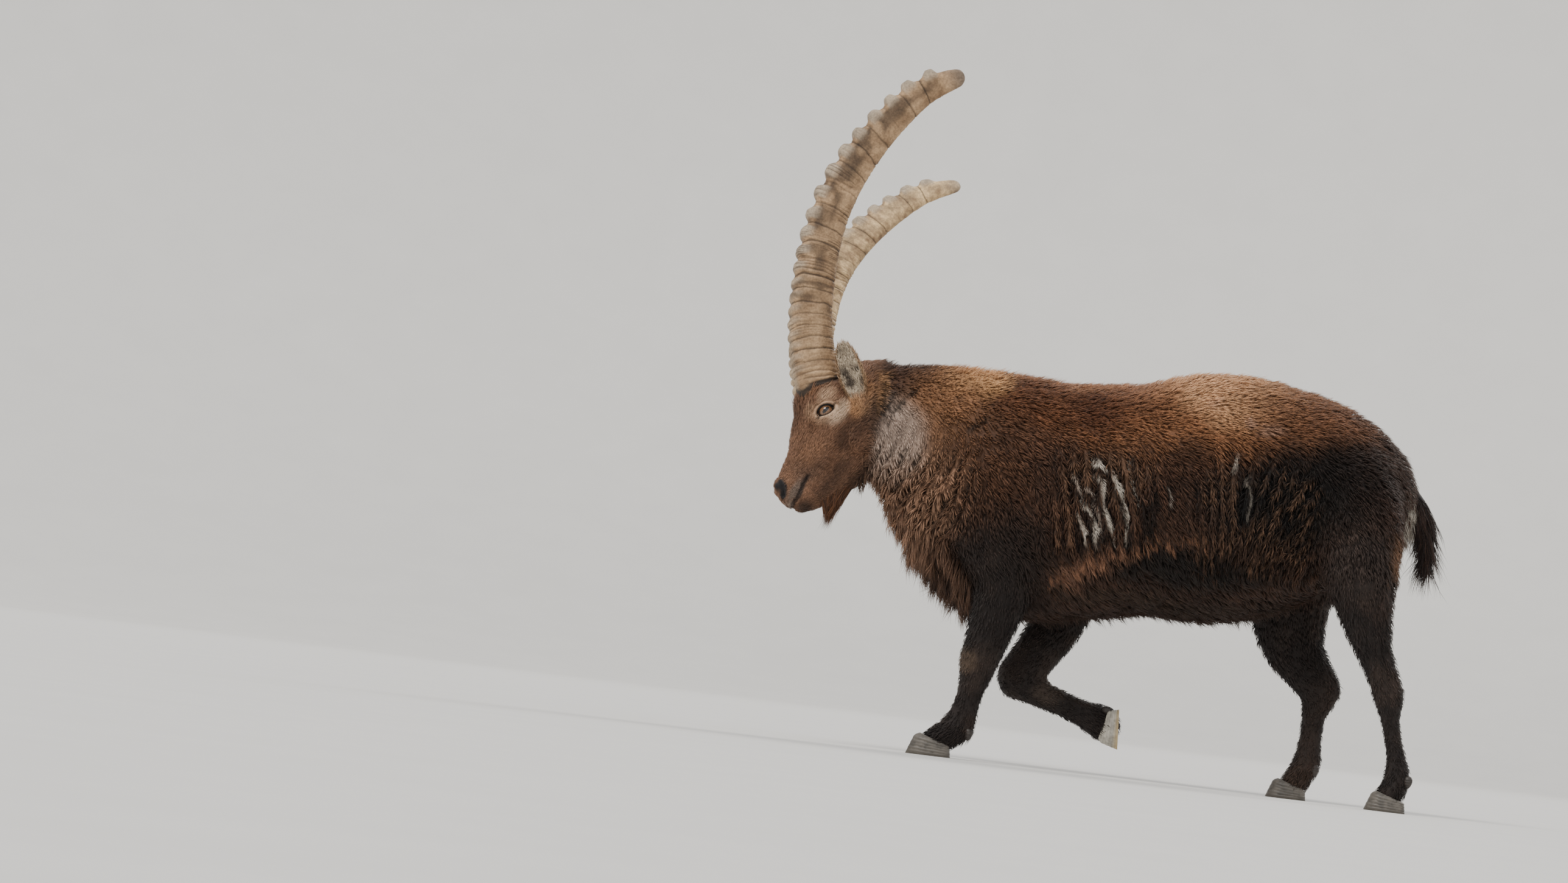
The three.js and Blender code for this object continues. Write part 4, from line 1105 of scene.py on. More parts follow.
def grow(name, slot, material, tufts, joints, fullness=0.9, waves=0.0):
    """Turns rows of tuft values into one piece of coat."""
    mesh = bpy.data.meshes.new(name + "_roots")
    count = len(tufts["root"])
    mesh.vertices.add(count)
    mesh.vertices.foreach_set("co", np.zeros(count * 3, np.float32))
    for key in ("root", "knee", "tip"):
        tell(mesh, key, place(tufts[key]), "FLOAT_VECTOR")
    for key in ("across", "rise", "curl"):
        tell(mesh, key, tufts[key] * MM, "FLOAT_VECTOR")
    tell(mesh, "phase", tufts["phase"])
    tell(mesh, "shade", tufts["shade"])
    tell(mesh, "root_uv", np.pad(tufts["uv"], ((0, 0), (0, 1))), "FLOAT_VECTOR")
    tell_tint(mesh, tufts["tint"])
    carrier = bpy.data.objects.new(name + "_roots", mesh)
    bpy.context.scene.collection.objects.link(carrier)
    modifier = carrier.modifiers.new("grow", "NODES")
    modifier.node_group = TUFTS
    values = {"Joints": joints, "Fullness": fullness, "Waves": waves}
    values |= {"Patch": OFBAKE_PATCH, "Finish": material}
    for item in TUFTS.interface.items_tree:
        if item.in_out == "INPUT" and item.name in values:
            modifier[item.identifier] = values[item.name]
    depsgraph = bpy.context.evaluated_depsgraph_get()
    grown = bpy.data.meshes.new_from_object(carrier.evaluated_get(depsgraph), depsgraph=depsgraph)
    carrier.modifiers.clear()
    bpy.data.objects.remove(carrier)
    for key in ("root", "knee", "tip", "across", "rise", "curl", "phase", "root_uv", "spot"):
        if key in grown.attributes:
            grown.attributes.remove(grown.attributes[key])
    grown.shade_smooth()
    grown.name = name
    return keep(grown, name, slot, material)


def sheet_of(normals, label):
    """The sheet of the unwrap for each face: six for each part, one for each way that it faces."""
    side = np.argmax(np.abs(normals), axis=1)
    sign = normals[np.arange(len(normals)), side] > 0
    return label * 6 + side * 2 + sign


def part_of(points, parts):
    """A number for each part of the body: head, trunk and the four legs."""
    leg = (parts["limb"] < parts["core"] + 5) & (points[:, 2] < 480)
    fore = points[:, 0] < 150
    left = points[:, 1] < 0
    number = np.where(leg, 2 + 2 * (~fore) + (~left), 1)
    return np.where(points[:, 0] < -550, 0, number)


# The skin, finer on the head; the boxes hold body and head with room to spare
BODY_CELL = 7.6
HEAD_CELL = 2.5
body_points, body_quads = surface(body_skin, (-640, -250, 20), (660, 250, 900), BODY_CELL)
head_points, head_quads = surface(head_skin, (-790, -190, 390), (-465, 190, 880), HEAD_CELL)
skin_points = np.concatenate([body_points, head_points])
skin_quads = np.concatenate([body_quads, head_quads + len(body_points)])
_, body_slope = slope_of(body_skin, body_points, 2.0)
_, head_slope = slope_of(head_skin, head_points, 1.0)
skin_normals = unit(np.concatenate([body_slope, head_slope]))
skin_parts = anatomy(skin_points)
skin_colour = coat_colour(skin_points, skin_parts)

skin_mesh = new_mesh("skin", place(skin_points), skin_quads)
tell_tint(skin_mesh, skin_colour)
tell(skin_mesh, "reach", np.full(len(skin_points), 0.22))
tell(skin_mesh, "shade", 0.5 + 0.35 * noise(skin_points, 5, 70))

middle_of = skin_points[skin_quads].mean(axis=1)
facing = np.cross(
    skin_points[skin_quads[:, 2]] - skin_points[skin_quads[:, 0]],
    skin_points[skin_quads[:, 3]] - skin_points[skin_quads[:, 1]],
)
quad_area = np.linalg.norm(facing, axis=1) / 2
facing = unit(facing)
quad_parts = {key: value[skin_quads[:, 0]] for key, value in skin_parts.items()}
label = part_of(middle_of, quad_parts)
sheet = sheet_of(facing, label)
corner_uv = np.zeros((len(skin_quads), 4, 2))
# The unwrap is a square of sheets, each with a margin; the skin takes the first 36
SHEETS_ACROSS = 7
SHEET_MARGIN = 0.02
SHEET_FILL = 0.96
LID_SHEET = 42
EAR_SHEET = 44
TAIL_SHEET = 46


def on_sheet(number, spots):
    """Places on one sheet, from 0 to its fill, as places on the whole unwrap."""
    cell_at = np.array([number % SHEETS_ACROSS, number // SHEETS_ACROSS])
    return (cell_at + SHEET_MARGIN + spots) / SHEETS_ACROSS


for number in np.unique(sheet):
    mine = sheet == number
    side = (number % 6) // 2
    axes = [axis for axis in range(3) if axis != side]
    flat = skin_points[skin_quads[mine]][:, :, axes]
    low, high = flat.reshape(-1, 2).min(axis=0), flat.reshape(-1, 2).max(axis=0)
    scale = SHEET_FILL / max((high - low).max(), 1)
    corner_uv[mine] = on_sheet(number, (flat - low) * scale)
tell_unwrap(skin_mesh, corner_uv)

# The skin stands for the long-haired nodes; these others have pieces of their own
OTHER_PIECES = ("eye", "horn", "claw", "_ear", "tail")
flesh = [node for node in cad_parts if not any(word in node for word in OTHER_PIECES)]
keep(skin_mesh, "skin", "coat", COAT, *flesh)


def tube_uv(tris, rows, sides, number):
    """Corners of a tube laid out flat on a sheet of the unwrap that no other part uses."""
    row = np.minimum(tris // sides, rows - 1) / (rows - 1)
    column = tris % sides
    past_seam = (column == 0) & (column.max(axis=1, keepdims=True) > sides / 2)
    column = np.where(past_seam, sides, column) / sides
    return on_sheet(number, SHEET_FILL * np.stack([column, row], axis=-1))


# Roots of the coat, spread over the skin at random, always in the same way
random = np.random.default_rng(20261125)


def scatter(count, weight):
    """Roots on the skin, closer together where the weight is higher."""
    share = np.cumsum(quad_area * weight)
    pick = np.searchsorted(share, random.random(count) * share[-1])
    u, v = random.random(count), random.random(count)
    corner_share = np.stack([(1 - u) * (1 - v), u * (1 - v), u * v, (1 - u) * v], axis=1)[:, :, None]
    corners = skin_quads[pick]
    return {
        "root": np.sum(skin_points[corners] * corner_share, axis=1),
        "normal": unit(np.sum(skin_normals[corners] * corner_share, axis=1)),
        "uv": np.sum(corner_uv[pick] * corner_share, axis=1),
    }


# About once round, for the start of a curl
WHOLE_TURN = 6.28
# Widths of the bundles that lying tufts gather into, on the trunk and on head and legs
BUNDLE = 22.0
SMALL_BUNDLE = 9.0


def drape(roots, width, stand=1.0, gather=0.45, sink=3.0, grow_by=1.0, vary=1.0):
    """Bends each tuft from its root to lie along the body, its tip gathered into a bundle."""
    p, n = roots["root"], roots["normal"]
    count = len(p)
    parts = anatomy(p)
    deep, long, head, leg = lay(p, parts)
    lie = lie_of(p, n, parts)
    length = long * grow_by * (0.75 + 0.5 * random.random(count))
    lift = np.clip(deep * stand * (0.7 + 0.6 * random.random(count)) / length, 0.05, 0.9)
    size = mix(BUNDLE, SMALL_BUNDLE, np.maximum(head, leg))
    middle, number = bundles(p / size[:, None] * BUNDLE, BUNDLE, 5)
    pull = middle * size[:, None] / BUNDLE - p
    pull -= n * np.sum(pull * n, axis=1, keepdims=True)
    tip = p + length[:, None] * (lie * np.sqrt(1 - lift**2)[:, None] + n * lift[:, None])
    stray = 0.06 * length[:, None] * random.normal(size=(count, 3))
    tip = tip + pull * gather * (1 - 0.6 * folded(p)[0][:, None]) + stray
    knee = p + length[:, None] * (0.42 * lie + n * (0.75 * lift + 0.12)[:, None])
    across = unit(np.cross(lie, n))
    # Short hair is rooted less deep, and pale hair varies less
    slack = np.minimum(1.0, long / 14)[:, None]
    tint = coat_colour(p, parts)
    uneven = vary * (1 - 0.6 * ramp(tint.mean(axis=1), 0.12, 0.34))
    return {
        "root": p - n * sink * slack,
        "knee": knee,
        "tip": tip,
        "across": across * (width * (0.7 + 0.6 * random.random(count)))[:, None],
        "rise": unit(np.cross(across, tip - p)) * -(width * 0.35)[:, None],
        "curl": np.zeros_like(across),
        "phase": random.random(count) * WHOLE_TURN,
        "shade": np.clip(0.5 + uneven * (0.22 * random.normal(size=count) + 0.5 * (number - 0.5)), 0, 1),
        "uv": roots["uv"],
        "tint": tint,
    }


def choose(rows, mask):
    return {key: value[mask] for key, value in rows.items()}


# The skin's faces in the skull's frame, the right side's place standing for both
quad_q = into_skull(middle_of)
quad_q[:, 1] = np.abs(quad_q[:, 1])
from_eye = np.where(quad_q[:, 1] > 40, lid_share(quad_q - EYE_CENTRE), FAR)
# Where head and body overlap, each grows hair only on its own side
on_body = np.arange(len(middle_of)) < len(body_quads)
covered = np.where(on_body, middle_of[:, 0] < -560, middle_of[:, 0] > -535)
open_skin = (~covered) & (from_eye > LID_OPENING)
bare = nostrils[1].distance(quad_q)[0] < 4
_, _, quad_head, quad_leg = lay(middle_of, quad_parts)


def hang(roots, drop, width, size, gather, tint, bow=0.15, curl=0.1):
    """Long hair that falls from its roots by the given drop, gathered into pointed locks."""
    p, n = roots["root"], roots["normal"]
    count = len(p)
    middle, number = bundles(p, size, 13)
    reach = 0.65 + 0.6 * number
    fall = drop * (reach * (0.85 + 0.3 * random.random(count)))[:, None]
    length = np.linalg.norm(fall, axis=1)
    pull = middle - p
    pull -= n * np.sum(pull * n, axis=1, keepdims=True)
    tip = p + fall + pull * gather + 0.05 * length[:, None] * random.normal(size=(count, 3))
    knee = p + 0.4 * (tip - p) + n * (bow * length)[:, None]
    across = unit(np.cross(tip - p, n) + 0.4 * length[:, None] * random.normal(size=(count, 3)))
    return {
        "root": p - n * 2,
        "knee": knee,
        "tip": tip,
        "across": across * (width * (0.7 + 0.6 * random.random(count)))[:, None],
        "rise": unit(np.cross(across, tip - p)) * -(width * 0.4),
        "curl": across * curl * length[:, None],
        "phase": number * WHOLE_TURN + 0.5 * random.random(count),
        "shade": np.clip(0.5 + 0.25 * random.normal(size=count) + 0.6 * (number - 0.5), 0, 1),
        "uv": roots["uv"],
        "tint": tint,
    }


# The coat is cut across between its sections, and the legs' coat at the middle of the trunk
SECTION_CUTS = [-545, -400, -250, -100, 60, 220, 370]
TRUNK_SECTIONS = ["nape", "neck", "chest", "shoulder", "ribs", "flank", "loin", "rump"]
HEAD_SECTIONS = ["head", "jaw"]
LEG_CUT = 150
# How much of a streak's wool a root may stand in, and how far from the middle plane streaks begin
IN_WOOL = 0.3
STREAK_SIDE = -60


def side_of(points):
    return np.where(points[:, 1] < 0, "_left", "_right")


def section_names(points, sections):
    index = np.minimum(np.digitize(points[:, 0], SECTION_CUTS), len(sections) - 1)
    return np.char.add(np.char.add("coat_", np.array(sections)[index]), side_of(points))


def leg_names(points):
    return np.char.add(np.where(points[:, 0] < LEG_CUT, "coat_foreleg", "coat_hindleg"), side_of(points))


def grow_sections(rows, names, slot, material):
    """One piece of coat for each name."""
    for name in np.unique(names):
        grow(str(name), slot, material, choose(rows, names == name), 2)


def coat(total_trunk, total_leg, total_head):
    """The coat of trunk and neck, legs and head; the side towards the viewer gets more tufts."""
    weight = open_skin * (1 - quad_head) * (1 - quad_leg) * np.where(middle_of[:, 1] < 0, 1.2, 0.8)
    trunk_roots = scatter(total_trunk, weight)
    on_wool = (streak(trunk_roots["root"])[0] > IN_WOOL) & (trunk_roots["root"][:, 1] < STREAK_SIDE)
    trunk_roots = choose(trunk_roots, ~on_wool)
    x, y, z = trunk_roots["root"].T
    by_wool = ramp(nearest_line(trunk_roots["root"], STREAKS)[0], 16, 8) * (y < 0)
    plush = np.maximum(ramp(z, 620, 720), ramp(x, -300, -400) * ramp(z, 520, 620))
    calm = np.maximum(plush, by_wool)
    width = mix(2.0, mix(1.75, 1.4, ramp(x, -380, -440)), calm)
    trunk_rows = drape(trunk_roots, width, gather=mix(0.45, 0.15, calm)[:, None])
    leg_roots = scatter(total_leg, open_skin * quad_leg * (1 - quad_head))
    leg_rows = drape(leg_roots, np.full(total_leg, 1.7), gather=0.3)
    head_roots = scatter(total_head, open_skin * quad_head * (~bare))
    head_rows = drape(head_roots, np.full(total_head, 0.8), gather=0.15, sink=1.5, vary=0.8)
    grow_sections(trunk_rows, section_names(trunk_rows["root"], TRUNK_SECTIONS), "coat", COAT)
    grow_sections(leg_rows, leg_names(leg_rows["root"]), "coat", COAT)
    grow_sections(head_rows, section_names(head_rows["root"], HEAD_SECTIONS), "face", FACE)


# Tufts of trunk, legs and head, and the trial roots of the wool
TRUNK_TUFTS = 62000
LEG_TUFTS = 13000
HEAD_TUFTS = 31000
WOOL_TUFTS = 12000
SHARE = 1.0
coat(int(TRUNK_TUFTS * SHARE), int(LEG_TUFTS * SHARE), int(HEAD_TUFTS * SHARE))

# Fine pale wool that follows the streaks
near_wool = open_skin & (nearest_line(middle_of, STREAKS)[0] < 8) & (middle_of[:, 1] < STREAK_SIDE)
wool_roots = scatter(int(WOOL_TUFTS * SHARE), near_wool)
wool_roots = choose(wool_roots, streak(wool_roots["root"])[0] > IN_WOOL)
wool_rows = drape(wool_roots, np.full(len(wool_roots["root"]), 0.9), gather=0.0, grow_by=0.7, vary=0.5)
grow("rib_wool", "coat", COAT, wool_rows, 2)


def region(low, high, half_width):
    """Skin of the trunk between two corners of x and height, at most half_width from the middle plane."""
    x, y, z = middle_of.T
    inside = (x > low[0]) & (x < high[0]) & (z > low[1]) & (z < high[1]) & (np.abs(y) < half_width)
    return inside & (quad_leg < 0.4) & open_skin


# Long hair: piece, tufts, x and height from and to, reach from the middle plane, how it falls,
# a tuft's half width, a lock's width, how far it gathers, colour
LONG_HAIR = [
    ("ruff", 3000, (-440, 330), (-262, 480), 110, (1, 0, -62), 1.5, 27, 0.95, (118, 90, 72)),
    ("ruff_low", 1300, (-400, 300), (-250, 410), 90, (4, 0, -46), 1.5, 24, 0.85, (60, 46, 40)),
    ("throat", 900, (-552, 480), (-440, 590), 70, (0, 0, -30), 1.4, 17, 0.8, (112, 86, 68)),
    ("neck_front", 1700, (-540, 400), (-380, 520), 70, (0, 0, -42), 1.4, 20, 0.9, (112, 86, 70)),
    ("belly_fringe", 2600, (-200, 290), (340, 400), 125, (17, 0, -22), 1.3, 19, 0.8, (44, 33, 27)),
    ("flank_locks", 1500, (130, 428), (350, 535), 260, (5, 0, -23), 1.4, 19, 0.9, (72, 51, 38)),
    ("elbow_fringe", 600, (-215, 330), (-140, 430), 160, (18, 0, -26), 1.2, 16, 0.6, (50, 40, 36)),
    ("rib_skirt", 1700, (-150, 370), (170, 515), 260, (10, 0, -24), 1.3, 17, 0.8, (140, 100, 75)),
    ("rump_fringe", 800, (520, 540), (640, 660), 60, (12, 0, -30), 1.2, 12, 0.6, (214, 206, 192)),
    ("thigh_fringe", 900, (505, 420), (600, 560), 150, (12, 0, -24), 1.2, 14, 0.6, (98, 72, 52)),
    ("nape_fluff", 1500, (-545, 745), (-380, 860), 80, (16, 0, 9), 0.9, 10, 0.5, (92, 66, 50)),
    ("withers_fluff", 2400, (-400, 770), (-40, 900), 80, (15, 0, 13), 0.8, 9, 0.5, (186, 138, 102)),
    ("back_fluff", 3000, (-80, 790), (480, 920), 90, (21, 0, 7), 0.9, 10, 0.5, (168, 124, 88)),
]
# The lower edge of the ribs' coat: x and height
SKIRT_EDGE = np.array([(-130, 392), (-78, 426), (-27, 451), (47, 486), (150, 500)])
for name, count, low, high, half_width, drop, width, size, gather, colour in LONG_HAIR:
    here = region(low, high, half_width)
    if name.endswith("fluff"):
        here &= facing[:, 2] > 0.55
    elif name in ("ruff", "ruff_low", "throat", "neck_front"):
        here &= facing[:, 0] + np.minimum(-facing[:, 2], 0.5) > -0.9
        here &= (facing[:, 0] < -0.3) | (facing[:, 2] < -0.3)
    elif name == "belly_fringe":
        here &= facing[:, 2] < -0.1
    elif name == "rib_skirt":
        edge_of = np.interp(middle_of[:, 0], SKIRT_EDGE[:, 0], SKIRT_EDGE[:, 1])
        here &= (np.abs(facing[:, 1]) > 0.6) & (np.abs(middle_of[:, 2] - edge_of) < 12)
    roots = scatter(int(count * SHARE), here)
    own = coat_colour(roots["root"], anatomy(roots["root"]))
    tint = mix(own, np.tile(paint(*colour), (len(own), 1)), 0.55)
    rows = hang(roots, np.array(drop, float), width, size, gather, tint)
    joints = 2 if name.endswith("fluff") else 3
    grow("coat_" + name, "coat", COAT, rows, joints, fullness=0.5, waves=4.0)

# The beard hangs from the chin and curls forward
BEARD_TUFTS = 1300
BEARD_TIP = np.array([-602.0, -62.0, 446.0])
beard_place = (np.abs(quad_q[:, 0] - 222) < 38) & (np.abs(quad_q[:, 2] + 118) < 24) & (quad_q[:, 1] < 26)
beard_roots = scatter(int(BEARD_TUFTS * SHARE), beard_place & open_skin)
beard_drop = BEARD_TIP - beard_roots["root"]
beard_drop[:, 1] *= 0.7
beard_tint = mix(paint(66, 46, 36), paint(128, 86, 56), random.random((len(beard_drop), 1)) ** 1.5)
beard = hang(beard_roots, beard_drop * 0.92, 1.3, 13, 0.3, beard_tint, bow=-0.05, curl=0.08)
grow("beard", "face", FACE, beard, 4, fullness=0.3, waves=3.0)

# Horns: stations of x, height above the nape, depth front to back, width
HORN_LINE = [
    (-648, -12, 86, 52), (-662, 30, 90, 57), (-684, 118, 88, 60), (-688, 208, 83, 58),
    (-680, 294, 77, 53), (-661, 367, 73, 48), (-628, 438, 68, 43), (-580, 509, 61, 38),
    (-527, 568, 53, 33), (-492, 593, 45, 29), (-455, 611, 36, 24), (-433, 618, 24, 18),
]
# How far the root's middle and each millimetre of height stand out from the skull's middle plane
HORN_ROOT = 38
HORN_SPLAY = 0.424
HORN_SIDES = 44
HORN_STEP = 1.8
# Where along the horn the knobs begin, how far before the tip they end, and the tip's last rings
KNOBS_FROM = 46.0
KNOBS_END = 60
TIP_RINGS = np.array([10, 7, 4.5, 2.5, 1, 0])
TIP_ROUND = 12
# How far past each ring its direction is measured, and the mean width of a low ridge
HORN_AHEAD = 6
RIDGE_PITCH = 8.6
LARGEST_KNOB = 11.5


def horn_points(side):
    """Rings round the horn from root to tip, and each vertex's place along it, knob, groove, ridge and
    place round it, from 1 in front to -1 behind."""
    fine = refine(HORN_LINE, 12)
    lean = math.atan(HORN_SPLAY)
    step = np.linalg.norm(np.diff(fine[:, :2], axis=0), axis=1) / math.cos(lean * 0.8)
    gone = np.concatenate([[0], np.cumsum(step)])
    total = gone[-1]
    knobs = []
    s = KNOBS_FROM
    while s < total - KNOBS_END:
        pitch = 23 + 21 * ramp(s, 120, 430)
        size = 3.5 + 8 * ramp(s, 150, 400) * (1 - 0.35 * ramp(s, 700, 860))
        knobs.append((s + pitch * 0.58, pitch, size))
        s += pitch
    marks = np.concatenate([np.arange(-6, total - TIP_ROUND, HORN_STEP), total - TIP_RINGS])
    angle = round_angles(HORN_SIDES)
    c, o = np.cos(angle), np.sin(angle)
    rings = []
    looks = []
    for mark in marks:
        x, h, deep, wide = (np.interp(mark, gone, fine[:, k]) for k in range(4))
        before = min(max(mark - HORN_AHEAD, 0), total - TIP_ROUND)
        after = max(min(mark + HORN_AHEAD, total), TIP_ROUND)
        ends = [[np.interp(at, gone, fine[:, k]) for k in (0, 1)] for at in (before, after)]
        run = np.subtract(ends[1], ends[0])
        run /= np.linalg.norm(run)
        front = np.array([-run[1], run[0]])
        left_over = min((total - mark) / TIP_ROUND, 1)
        cap = math.sqrt(max(1 - (1 - left_over) ** 2, 0))
        about = np.stack([c * 30, o * 30 + side * 90, np.full(HORN_SIDES, float(mark))], axis=1)
        wavy = mark + 3.2 * noise(about, 26, 100) + 1.2 * noise(about, 9, 101)
        knob = np.zeros(HORN_SIDES)
        groove = np.zeros(HORN_SIDES)
        for number, (at, pitch, size) in enumerate(knobs):
            depth = 0.35 + 0.65 * abs(math.sin(2.4 * number))
            u = (wavy - at) / (pitch * 0.5)
            knob = np.maximum(knob, size * np.exp(-((u / 0.56) ** 4)))
            groove = np.maximum(groove, depth * np.exp(-(((wavy - at + pitch * 0.5) / 1.7) ** 2)))
        low = 1 - 0.65 * ramp(mark, 330, 620)
        uneven = 0.55 + 0.6 * noise(about, 34, 103)
        spacing = RIDGE_PITCH * (1 + 0.18 * math.sin(mark / 31))
        ridge = uneven * np.sin(2 * math.pi * wavy / spacing)
        wear = low * 1.15 * ridge * ramp(c, 0.95, 0.4) - 1.6 * groove + 0.5 * noise(about, 5, 102)
        f = np.sign(c) * np.abs(c) ** 0.8 * deep * cap / 2 + knob * ramp(c, 0.3, 0.85) + wear * c
        w = o * (1 + 0.24 * c) * wide * cap / 2 + (wear + 0.16 * knob * ramp(c, 0.1, 0.6)) * o
        px = x + front[0] * f
        ph = h + front[1] * f
        if mark < 0:
            px = px + run[0] * mark
            ph = ph + run[1] * mark
        py = HORN_ROOT + HORN_SPLAY * ph + w / math.cos(lean)
        ring = np.stack([px, side * py, NAPE[2] + ph], axis=1)
        rings.append((ring - NAPE) @ turn_x(-HEAD_ROLL).T + NAPE)
        along = np.full(HORN_SIDES, mark / total)
        looks.append(np.stack([along, knob / LARGEST_KNOB, groove, ridge * low, c], axis=1))
    return np.array(rings), np.array(looks)


DEEP_HORN = paint(136, 108, 80)
SIDE_SHADE_COLOUR = paint(84, 67, 52)
KNOB_COLOUR = paint(178, 163, 143)
FRONT_COLOUR = paint(178, 158, 132)
TROUGH_SHADE_COLOUR = paint(66, 50, 38)
GROOVE_COLOUR = paint(46, 35, 28)
TIP_COLOUR = paint(120, 112, 104)
ROOT_SHADE_COLOUR = paint(30, 23, 20)


def horn_colour(points, looks, tone, side_shade_depth):
    """Tan horn with pale grey knobs, painted shade in the hollows behind them, and dark lines across each
    year.
    """
    along, knob, groove, ridge, c = looks.T
    cloud = noise(points, 24, 110)[:, None]
    grain = noise(points, 7, 111)[:, None]
    colour = mix(DEEP_HORN, tone, np.clip(0.5 + 0.5 * cloud + 0.35 * grain, 0, 1))
    # Painted shade on the horn's sides, in the hollows behind the knobs
    side_shade = ramp(c, -0.5, -0.05) * ramp(c, 0.62, 0.4) * ramp(along, 0.12, 0.4) * ramp(along, 0.98, 0.85)
    side_shade = side_shade * ramp(noise(points, 26, 112), -0.45, 0.1)
    colour = mix(colour, SIDE_SHADE_COLOUR, side_shade_depth * side_shade[:, None])
    pale = ramp(knob, 0.0, 0.6) * ramp(c, 0.2, 0.7)
    colour = mix(colour, KNOB_COLOUR, 0.85 * pale[:, None])
    facing_front = ramp(c, 0.72, 0.95) * ramp(along, 0.35, 0.2)
    colour = mix(colour, FRONT_COLOUR, 0.6 * facing_front[:, None])
    # Painted shade in the troughs between the fine ridges
    trough_shade = ramp(ridge, -0.15, -0.8)
    colour = mix(colour, TROUGH_SHADE_COLOUR, 0.7 * trough_shade[:, None])
    colour = mix(colour, GROOVE_COLOUR, 0.85 * groove[:, None])
    colour = mix(colour, TIP_COLOUR, 0.6 * ramp(along, 0.93, 1.0)[:, None])
    # A dark rim of painted shade where the horn comes out of the skin
    low = along < 0.12
    rim = np.zeros(len(points))
    rim[low] = ramp(skin(points[low]), 12, 8)
    return mix(colour, ROOT_SHADE_COLOUR, 0.92 * rim[:, None])


def tube(rings):
    """Points and outward triangles of a tube through rings of equal size, with a fan at each end."""
    count, sides, _ = rings.shape
    points = rings.reshape(-1, 3)
    ends = np.array([rings[0].mean(axis=0), rings[-1].mean(axis=0)])
    points = np.concatenate([points, ends])
    r = np.arange(count - 1)[:, None] * sides
    s = np.arange(sides)[None]
    t = (s + 1) % sides
    a, b, c, d = r + s, r + t, r + sides + t, r + sides + s
    tris = np.concatenate([
        np.stack([a, b, c], axis=-1).reshape(-1, 3),
        np.stack([a, c, d], axis=-1).reshape(-1, 3),
    ])
    s, t = s[0], t[0]
    top = (count - 1) * sides
    low_fan = np.stack([t, s, np.full(sides, count * sides)], axis=1)
    high_fan = np.stack([top + s, top + t, np.full(sides, count * sides + 1)], axis=1)
    tris = np.concatenate([tris, low_fan, high_fan])
    if volume(points, tris) < 0:
        tris = tris[:, ::-1]
    return points, tris


def volume(points, tris):
    a, b, c = (points[tris[:, k]] for k in range(3))
    return np.sum(a * np.cross(b, c)) / 6


def horn_material():
    """Horn in its own tints, with fine scratches, pits and dirt."""
    material, tree, shader = new_material("horn")
    place_of = tree.own_place()
    blotch = speckle(tree, place_of, 30.0, 5.0)
    fine = speckle(tree, place_of, 240.0, 4.0)
    cloudy = spread(tree, blotch, 0.3, 0.7, 0.82, 1.15)
    factor = tree.times(cloudy, spread(tree, fine, 0.3, 0.7, 0.8, 1.15))
    tree.link(scaled(tree, tree.told("tint", "Color"), factor), shader.inputs["Base Color"])
    set_inputs(shader, Roughness=0.6, Specular_IOR_Level=0.35)
    bump(tree, shader, tree.number("ADD", blotch, fine), BUMP_HEIGHT, 0.8)
    return material


HORN = horn_material()
# The lightest tone of each horn, paler on the right horn as painted sunlight, and how strong the painted
# shade in the hollows of its sides is, stronger on the left horn
HORN_TONE_AND_SUNLIGHT = {"left": paint(190, 157, 120), "right": paint(238, 204, 154)}
SIDE_SHADE_BY_HORN = {"left": 0.85, "right": 0.35}
for side, name in SIDES:
    rings, looks = horn_points(side)
    points, tris = tube(rings)
    mesh = new_mesh(name + "_horn_sheath", place(points), tris)
    flat_looks = np.concatenate([looks.reshape(-1, 5), looks[0, :1], looks[-1, :1]])
    tell_tint(mesh, horn_colour(points, flat_looks, HORN_TONE_AND_SUNLIGHT[name], SIDE_SHADE_BY_HORN[name]))
    keep(mesh, name + "_horn_sheath", "horn", HORN, name + "_horn")

# Eyes: a ball with a flat oval pupil across it
EYE_STEPS = 48
PUPIL_LONG = 0.42
PUPIL_FLAT = 1.1


def eye_material():
    """A golden brown iris with rays, a dark rim and an oval pupil, under a wet coat."""
    material, tree, shader = new_material("eye")
    gaze = tree.told("gaze", "Vector")
    split = tree.add("ShaderNodeSeparateXYZ")
    tree.link(gaze, split.inputs[0])
    along, _, up = split.outputs

    def far(one, two):
        return tree.number("SQRT", tree.number("ADD", tree.times(one, one), tree.times(two, two)))

    ring = far(along, up)
    pupil = far(tree.times(along, PUPIL_LONG), tree.times(up, PUPIL_FLAT))
    rays = speckle(tree, gaze, 9.0, 4.0)
    iris = blend(tree, spread(tree, rays, 0.35, 0.65, 0.0, 1.0), paint(84, 56, 36), paint(136, 98, 64))
    iris = blend(tree, spread(tree, ring, 0.62, 0.84, 0.0, 0.8), iris, paint(44, 29, 21))
    base = blend(tree, spread(tree, pupil, 0.2, 0.27, 1.0, 0.0), iris, paint(14, 11, 12))
    base = blend(tree, spread(tree, ring, 0.84, 0.92, 0.0, 1.0), base, paint(38, 26, 20))
    tree.link(base, shader.inputs["Base Color"])
    set_inputs(shader, Roughness=0.12, Coat_Weight=0.6, Coat_Roughness=0.03)
    bump(tree, shader, rays, 0.0002, 0.2)
    return material


